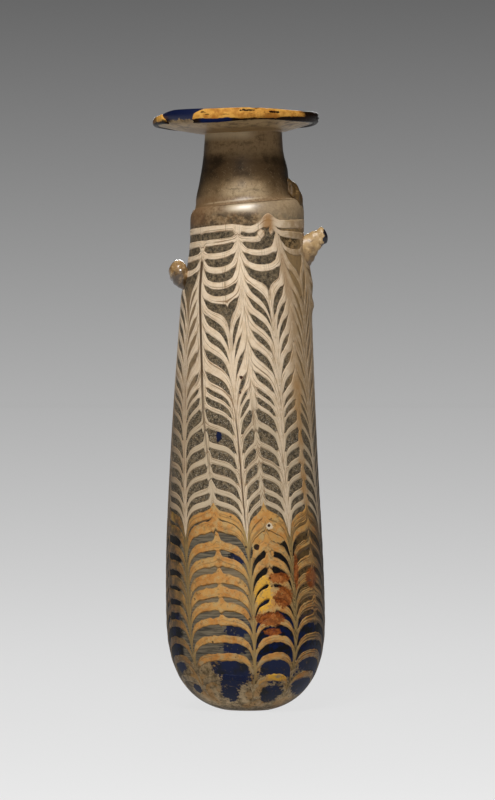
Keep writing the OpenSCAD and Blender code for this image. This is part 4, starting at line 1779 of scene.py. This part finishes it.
@dataclass
class CombedThread:
    """One thread wound round the body and combed into feathers."""

    name: str
    node: str
    slot: Slot
    wall: WallForm
    comb: Comb
    first_turn: float
    last_turn: float
    hook: float = 0.0
    hook_reach: float = 0.75
    hook_slope: float = 1.1
    hook_gain: float = 0.1
    knot_turn: Optional[float] = None
    knot_r: float = 14.0
    knot_rise: float = 1.3
    knot_gain: float = 0.7
    knot_narrow: Pair = (0.22, 0.3)
    dip: float = 0.9
    dip_at: float = 4.2
    dip_narrow: float = 0.12
    end_rise: float = 0.0
    end_reach: float = 4.5
    end_flare: Span = (0.9, 0.1)
    end_gain: float = 2.0
    blunt: float = 0.12
    blunt_depth: float = 0.97
    fray: float = 0.25
    uneven: float = 0.3
    samples: int = 20
    rows: int = 11
    top_share: float = 0.7
    depth: float = 0.45
    crown: float = 0.03
    proud: float = 0.02
    wander: float = 0.5
    overlap: float = 0.4
    eye_z: float = 77.25
    squeeze: float = 0.986
    heights: Course = (
        (-1.0, 124.3), (0.0, 120.6), (2.0, 113.3), (4.0, 105.2), (6.0, 97.9), (8.0, 89.7), (9.0, 84.6),
        (10.0, 80.2), (12.0, 75.0), (13.0, 71.0), (14.0, 66.2), (17.0, 54.7), (19.0, 48.8), (20.0, 46.2),
        (21.0, 41.4), (23.0, 33.3), (26.0, 22.9), (28.0, 14.2), (29.0, 8.6), (30.0, 5.2),
    )
    widths: Course = (
        (-1.0, 1.5), (0.0, 2.0), (1.0, 1.75), (6.0, 2.0), (8.0, 2.5), (9.0, 3.5), (10.0, 2.0), (11.0, 1.1),
        (12.0, 1.1), (13.0, 1.55), (17.0, 1.5), (18.0, 1.4), (19.0, 2.3), (20.0, 3.0), (21.0, 2.4),
        (24.0, 2.7), (25.0, 2.2), (26.0, 1.9), (28.0, 2.0), (30.0, 1.6),
    )

    def pitches(self) -> Course:
        """The distance between turns, from the heights."""
        pairs = zip(self.heights, self.heights[1:])
        return tuple(((t + u) / 2.0, (a - b) / (u - t)) for (t, a), (u, b) in pairs)

    def place_of(self, turn: float) -> float:
        """The count of strokes, from the first one at the front's left, at which a turn lies."""
        angles = self.comb.angles()
        angle = -turn * TURN
        whole = math.floor((angle - angles[0]) / TURN)
        return whole * (len(angles) - 1) + float(np.interp(angle - whole * TURN, angles, range(len(angles))))

    def wind(self, g: Graph, count: Field) -> tuple[Field, Field]:
        """Finds the angle at a count of strokes, with points gathered near the strokes.

        Args:
            g: The tree.
            count: The count of strokes, with its share of the way to the next one.

        Returns:
            The angle within its lap, and the number of whole laps before it.
        """
        angles = self.comb.angles()
        lap = len(angles) - 1
        laps = g.math("FLOOR", count * (1.0 / lap))
        local = count - laps * lap
        cell = g.math("FLOOR", local)
        share = local - cell
        eased = cell + share * share * (3.0 - share * 2.0)
        return g.course(eased, list(enumerate(angles))), laps

    def shape_ends(self, g: Graph, line: Line, turn: Field, from_start: Field, from_end: Field) -> None:
        """Bends the thread's ends: a hook at its start, a knot on the way or a rise at its end.

        Args:
            g: The tree.
            line: The thread's course, changed in place.
            turn: The number of the turn.
            from_start: The count of strokes from the start.
            from_end: The count of strokes from the end.
        """
        if self.hook:
            bent = g.ramp(from_start, 0.0, self.hook_reach, 1.0, 0.0)
            line.middle = line.middle + bent * bent * self.hook
            slope = bent * self.hook_slope
            line.lean = slope / g.math("SQRT", slope * slope + 1.0)
            line.width = line.width * (1.0 + bent * bent * self.hook_gain)
        if self.knot_turn is not None:
            knot = (turn - self.knot_turn) * (TURN * RADIAN * self.knot_r)
            sunk = knot - self.dip_at
            rise, swell = (g.math("EXPONENT", -(knot * knot * narrow)) for narrow in self.knot_narrow)
            line.middle = line.middle + rise * self.knot_rise
            line.middle = line.middle - g.math("EXPONENT", -(sunk * sunk * self.dip_narrow)) * self.dip
            line.width = line.width * (1.0 + swell * self.knot_gain)
        if self.end_rise:
            bent = g.ramp(from_end, 0.0, self.end_reach, 1.0, 0.0)
            line.middle = line.middle + bent * (2.0 - bent) * self.end_rise
            line.width = line.width * (1.0 + g.smooth(from_end, *self.end_flare) * self.end_gain)

    def build(self, material: bpy.types.Material) -> bpy.types.Object:
        """Winds the thread, combs it and lays it on the wall.

        Args:
            material: The thread's material.

        Returns:
            The thread.
        """
        start, end = self.place_of(self.first_turn), self.place_of(self.last_turn)
        sizes = {
            "Start": start,
            "End": end,
            "Samples": int(abs(end - start) * self.samples) + 1,
            "Depth": self.depth,
            "Crown": self.crown,
            "Wander": self.wander,
            "Fray": self.fray,
        }
        recipe = Recipe(self.name + "_tree", sizes)
        g, given, comb = recipe.graph, recipe.given, self.comb
        grid_sockets = {"Size X": 1.0, "Size Y": 1.0, "Vertices X": given("Samples"), "Vertices Y": self.rows}
        grid = g.node("GeometryNodeMeshGrid", grid_sockets)
        along, around, _ = g.split(g.node("GeometryNodeInputPosition"))
        along, around = along + 0.5, around + 0.5
        count = given("Start") + (given("End") - given("Start")) * along
        from_start, from_end = given("Start") - count, count - given("End")
        base, laps = self.wind(g, count)
        angle = base + laps * TURN
        turn = angle * (-1.0 / TURN)
        wave = g.streaks(angle * 0.012, 3.7, 0.0, 2.0) - 0.5
        ragged = g.streaks(angle * 0.03, 9.1, 0.0, 3.0) - 0.5
        line = Line(
            g.course(turn, self.heights) + wave * given("Wander"),
            g.course(turn, self.widths) * (1.0 + ragged * self.uneven),
        )
        self.shape_ends(g, line, turn, from_start, from_end)
        gap = g.course(turn, self.pitches()) + self.overlap - line.width
        stem, hung = comb.stems(g, angle, line.middle)
        middle = line.middle - gap * hung * 0.5
        blunt = g.ramp(g.math("MINIMUM", from_start, from_end), 0.0, self.blunt, 1.0, 0.0)
        width = (line.width + gap * stem) * g.math("SQRT", 1.0 - blunt * blunt * self.blunt_depth)
        face = g.ramp(around, 0.0, self.top_share, 0.0, 1.0)
        under = g.ramp(around, self.top_share, 1.0, 0.0, 1.0)
        across = face - under
        bulge = 1.0 - (across * 2.0 - 1.0) ** 2.0
        is_under = g.math("GREATER_THAN", under, 0.0)
        hollow = g.math("SINE", under * math.pi) * given("Depth")
        lift = self.proud + bulge * given("Crown") * (1.0 - is_under) - hollow
        torn = g.streaks(angle * 0.22, across * 3.0, turn * 2.0, 2.0) - 0.5
        raw = middle + (across - 0.5) * (width + torn * given("Fray") * 2.0)
        height = raw + comb.drag(g, angle, raw, True) - comb.drag(g, angle, raw, False)
        aside = (across - 0.5) * width * line.lean * (-1.0 / (RADIAN * comb.stroke_r))
        seat = g.join(base + aside + comb.turned(g, height), height, lift)
        marks = {
            Mark.ACROSS: across,
            Mark.NEAR: comb.near(g, angle, middle, False),
            Mark.RISE: comb.near(g, angle, middle, True),
            Mark.TURN: turn,
            Mark.SWEEP: base * (RADIAN * comb.stroke_r),
        }
        at_points = {"data_type": "FLOAT", "domain": "POINT"}
        for mark, value in marks.items():
            store = {"Geometry": grid, "Name": mark.value, "Value": value}
            grid = g.node("GeometryNodeStoreNamedAttribute", store, settings=at_points)
        shaped = g.node("GeometryNodeSetPosition", {"Geometry": grid, "Position": seat})
        points, piece = recipe.run(self.name, shaped, material)
        z = self.eye_z + (points[:, 1] - self.eye_z) * self.squeeze
        return recipe.settle(piece, self.wall.place(points[:, 0], z, points[:, 2]))

    def dress(self, material: bpy.types.Material) -> None:
        """Makes the thread and gives it its glass."""
        Shop.dress(self.build(material), material, self.slot, self.node)


@dataclass
class Lug:
    """A small lug drawn out of the shoulder along a path in one upright plane."""

    name: str
    wall: WallForm
    glass: LugGlass
    angle: float
    path: Course
    up: tuple[float, ...]
    side: tuple[float, ...]
    nodes: tuple[str, ...] = ()
    round_from: float = 0.7
    lumps: float = 0.08
    rings: int = 40
    segments: int = 40

    def build(self) -> bpy.types.Object:
        """Lofts rounds along the path and closes both ends.

        Returns:
            The lug.
        """
        share = np.sin(np.linspace(-QUARTER, QUARTER, self.rings)) * 0.5 + 0.5
        out, height = (self.curve(share, values) for values in np.array(self.path).T)
        past = np.clip((share - self.round_from) / (1.0 - self.round_from), 0.0, 1.0)
        cap = np.sqrt(1.0 - past * past)
        up, side = (self.curve(share, np.array(sizes)) * cap for sizes in (self.up, self.side))
        run_out, run_up = np.gradient(out, share), np.gradient(height, share)
        length = np.hypot(run_out, run_up)
        out, height = out[:, None], height[:, None]
        run_out, run_up = (run_out / length)[:, None], (run_up / length)[:, None]
        turn = np.linspace(0.0, 2.0 * math.pi, self.segments, endpoint=False)
        rise = np.sin(turn)[None] * up[:, None]
        across = np.cos(turn)[None] * side[:, None]
        reach = out - run_up * rise
        z = height + run_out * rise
        rough = np.sin(reach * 2.3 + z * 1.1) * np.sin(across * 2.0 - z * 1.7 + 0.8)
        bump = 1.0 + self.lumps * rough
        reach = out + (reach - out) * bump
        z = height + (z - height) * bump
        sine, cosine = math.sin(self.angle * RADIAN), math.cos(self.angle * RADIAN)
        x = reach * sine + across * bump * cosine
        y = -reach * cosine + across * bump * sine
        return Shop.grid_mesh(self.name, self.wall.warp(np.stack([x, y, z], axis=-1)))

    @staticmethod
    def curve(share: np.ndarray, values: np.ndarray) -> np.ndarray:
        """A soft curve through evenly spaced values.

        Args:
            share: Where to read it, from 0 to 1.
            values: The values.

        Returns:
            The curve's values.
        """
        knots = np.linspace(0.0, 1.0, len(values))
        slopes = np.gradient(values, knots)
        cell = np.clip(np.searchsorted(knots, share, side="right") - 1, 0, len(knots) - 2)
        gap = knots[cell + 1] - knots[cell]
        t = (share - knots[cell]) / gap
        first = values[cell] * (1.0 + 2.0 * t) * (1.0 - t) ** 2 + values[cell + 1] * t * t * (3.0 - 2.0 * t)
        return first + gap * (slopes[cell] * t * (1.0 - t) ** 2 - slopes[cell + 1] * t * t * (1.0 - t))

    def dress(self, piece: bpy.types.Object) -> None:
        """Gives the lug its filmed glass."""
        Shop.dress(piece, self.glass.build(), Slot.LUG, *self.nodes)


@dataclass(frozen=True)
class Lamp:
    """A soft square lamp: its power in watts, its side, and its place from the vessel's middle."""

    name: str
    power: float
    size: float
    place: Point

    def hang(self, middle_z: float) -> None:
        """Hangs the lamp so that it looks at the vessel.

        Args:
            middle_z: The height of the vessel's middle, in metres.
        """
        data = bpy.data.lights.new(self.name, "AREA")
        data.energy = self.power
        data.size = self.size
        lamp = bpy.data.objects.new(self.name, data)
        lamp.location = Vector(self.place) + Vector((0.0, 0.0, middle_z))
        lamp.rotation_euler = (-Vector(self.place)).to_track_quat("-Z", "Y").to_euler()
        bpy.context.scene.collection.objects.link(lamp)


@dataclass
class Studio:
    """The pale floor, the soft lamps and the camera at the vessel's own height."""

    eye: Point = (0.0005, -1.04, 0.07725)
    lens: float = 187.2
    sensor: float = 36.0
    screen_white: float = 255.0
    screen_power: float = 2.2
    pale: float = 173.0
    near_gain: float = 56.2
    near_from: float = 0.74
    near_y: float = -0.3
    fall: float = 728.0
    fall_end: float = 0.2
    floor_half: float = 40.0
    floor_grey: Colour = srgb(185, 185, 185)
    shadow_share: float = 0.2
    shadow_narrow: float = 9.0
    lamps: tuple[Lamp, ...] = (
        Lamp("key", 15.7, 0.5, (-0.17, -0.88, 1.0)),
        Lamp("fill", 1.6, 0.5, (0.1, -1.3, 0.25)),
        Lamp("back", 13.0, 0.4, (0.0, 1.6, 0.4)),
    )
    world_light: float = 0.07

    def seen(self, g: Graph) -> Field:
        """1 for rays that see the background: the eye's, and those mirrored or passed by glass."""
        path = g.node("ShaderNodeLightPath", None, "Is Camera Ray")
        return g.most(path, g.most(path.output("Is Glossy Ray"), path.output("Is Transmission Ray")))

    def grey(self, g: Graph, level: Field) -> Field:
        """A grey by its level on a screen."""
        grey = (level * (1.0 / self.screen_white)) ** self.screen_power
        return g.join(grey, grey, grey)

    def lay_floor(self) -> None:
        """Lays the floor, which pales towards the viewer and keeps the vessel's soft shadow."""
        half = self.floor_half
        corners = [(-half, -half, 0.0), (half, -half, 0.0), (half, half, 0.0), (-half, half, 0.0)]
        mesh = bpy.data.meshes.new("floor")
        mesh.from_pydata(corners, [], [(0, 1, 2, 3)])
        floor = bpy.data.objects.new("floor", mesh)
        bpy.context.scene.collection.objects.link(floor)
        material = bpy.data.materials.new("pale_floor")
        material.use_nodes = True
        material.node_tree.nodes.clear()
        g = Graph(material.node_tree)
        x, y, _ = g.split(g.node("ShaderNodeTexCoord", None, "Object"))
        ahead = y - self.near_y
        away = g.math("SQRT", x * x + ahead * ahead)
        level = self.near_gain / (away + self.near_from) + self.pale
        glow = g.node("ShaderNodeEmission", {"Color": self.grey(g, level), "Strength": 1.0})
        matt = g.node("ShaderNodeBsdfDiffuse", {"Color": self.floor_grey})
        near = g.math("EXPONENT", -(away * away * self.shadow_narrow))
        share = self.seen(g) * (1.0 - near * self.shadow_share)
        both = g.node("ShaderNodeMixShader", {0: share, 1: matt, 2: glow})
        g.node("ShaderNodeOutputMaterial", {"Surface": both})
        mesh.materials.append(material)

    def hang_sky(self) -> None:
        """Sets the grey backdrop, which darkens upwards, and a weak even light."""
        world = bpy.data.worlds.new("studio")
        bpy.context.scene.world = world
        world.use_nodes = True
        world.node_tree.nodes.clear()
        g = Graph(world.node_tree)
        x, y, z = g.split(g.node("ShaderNodeTexCoord", None, "Generated"))
        flat = g.math("SQRT", x * x + y * y)
        rise = g.ramp(z / flat, 0.0, self.fall_end, 0.0, self.fall_end)
        backdrop = self.grey(g, self.pale - rise * self.fall)
        shown = g.node("ShaderNodeBackground", {"Color": backdrop, "Strength": 1.0})
        level = self.world_light
        even = g.node("ShaderNodeBackground", {"Color": (level, level, level, 1.0), "Strength": 1.0})
        both = g.node("ShaderNodeMixShader", {0: self.seen(g), 1: even, 2: shown})
        g.node("ShaderNodeOutputWorld", {"Surface": both})

    def set_up(self) -> None:
        """Makes the floor, the backdrop, the lamps and the camera."""
        bpy.context.scene.view_settings.view_transform = "Standard"
        self.lay_floor()
        self.hang_sky()
        for lamp in self.lamps:
            lamp.hang(self.eye[2])
        data = bpy.data.cameras.new("eye")
        data.lens = self.lens
        data.sensor_width = self.sensor
        camera = bpy.data.objects.new("eye", data)
        camera.location = self.eye
        camera.rotation_euler = (QUARTER, 0.0, 0.0)
        bpy.context.scene.collection.objects.link(camera)
        bpy.context.scene.camera = camera


def combed_threads(wall: WallForm) -> tuple[CombedThread, CombedThread, CombedThread]:
    """The three threads on the body.

    Args:
        wall: The wall that they lie in.

    Returns:
        The white collar, the long white thread and the yellow thread, from the top down.
    """
    comb = Comb()
    collar = CombedThread(
        "collar_thread", "collar_trail", Slot.WHITE, wall, comb,
        first_turn=-0.25, last_turn=0.94, knot_turn=-0.058, end_rise=1.3,
    )
    white = CombedThread(
        "white_thread", "white_trail", Slot.WHITE, wall, comb, first_turn=0.95, last_turn=18.3, hook=2.0
    )
    yellow = CombedThread(
        "yellow_thread", "yellow_trail", Slot.YELLOW, wall, comb, first_turn=18.34, last_turn=29.6, fray=1.2
    )
    return collar, white, yellow


def shoulder_lugs(wall: WallForm) -> tuple[Lug, Lug, Lug]:
    """What stands out of the shoulder.

    Args:
        wall: The wall that carries it.

    Returns:
        The left knob, the right horn and the drip of glass above the horn.
    """
    no_tip = 90.0  # farther right than any lug reaches
    brown = srgb(58, 42, 25)
    dull = srgb(44, 32, 19)
    gold = LugGlass(
        "knob_glass", srgb(158, 124, 80), brown, brown, no_tip, low_z=108.6, coat_rough=0.13, coat=1.0
    )
    sand = LugGlass(
        "horn_glass", srgb(182, 150, 104), srgb(112, 86, 54), srgb(22, 21, 32),
        tip_x=19.3, low_z=114.0, coat_rough=0.3, coat=0.4,
    )
    crust = LugGlass(
        "drip_glass", srgb(92, 70, 42), dull, dull, no_tip,
        low_z=125.0, coat_rough=0.4, coat=0.0, pale=srgb(146, 115, 72),
    )
    knob = Lug(
        "left_knob", wall, gold,
        angle=-80.0,
        path=((14.8, 103.4), (15.5, 105.4), (16.6, 107.5), (17.3, 109.3), (17.5, 112.2)),
        up=(0.0, 1.2, 2.3, 2.6, 2.6),
        side=(0.0, 1.3, 2.2, 2.5, 2.5),
        nodes=("left_lug",),
        round_from=0.62,
    )
    horn = Lug(
        "right_horn", wall, sand,
        angle=84.0,
        path=((11.0, 112.4), (13.6, 114.3), (16.2, 116.3), (18.4, 117.8), (20.0, 118.5)),
        up=(4.6, 3.9, 2.6, 2.0, 1.7),
        side=(2.6, 2.4, 1.7, 1.3, 1.1),
        nodes=("right_lug",),
        round_from=0.86,
    )
    drip = Lug(
        "shoulder_drip", wall, crust,
        angle=80.0,
        path=((13.0, 120.6), (13.2, 124.0), (12.1, 127.5), (10.6, 130.2), (9.7, 132.4)),
        up=(0.0, 0.9, 1.7, 1.4, 1.0),
        side=(0.0, 2.4, 3.2, 2.4, 1.6),
        lumps=0.16,
    )
    return knob, horn, drip


def main() -> None:
    """Builds the vessel's pieces in order and reports each one."""
    logging.basicConfig(level=logging.INFO)
    Studio().set_up()
    wall = WallForm()
    body = Body(wall)
    body.dress(body.build())
    low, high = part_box("neck")
    neck = Neck(wall, foot_z=low.z / MM, top_z=high.z / MM, foot_r=(high.y - low.y) / 2.0 / MM)
    neck.dress(neck.build())
    low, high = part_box("rim_disk")
    edge_r = (high.y - low.y) / 2.0 / MM
    middle_x = (high.x + low.x) / 2.0 / MM
    rim = Rim(middle_x, foot_z=low.z / MM, top_z=high.z / MM, edge_r=edge_r)
    rim.dress(rim.build())
    RimThread(rim).dress()
    cream = CreamThread().build()
    ochre = OchreThread().build()
    for thread in combed_threads(wall):
        thread.dress(ochre if thread.slot is Slot.YELLOW else cream)
    for lug in shoulder_lugs(wall):
        lug.dress(lug.build())


if __name__ == "__main__":
    main()
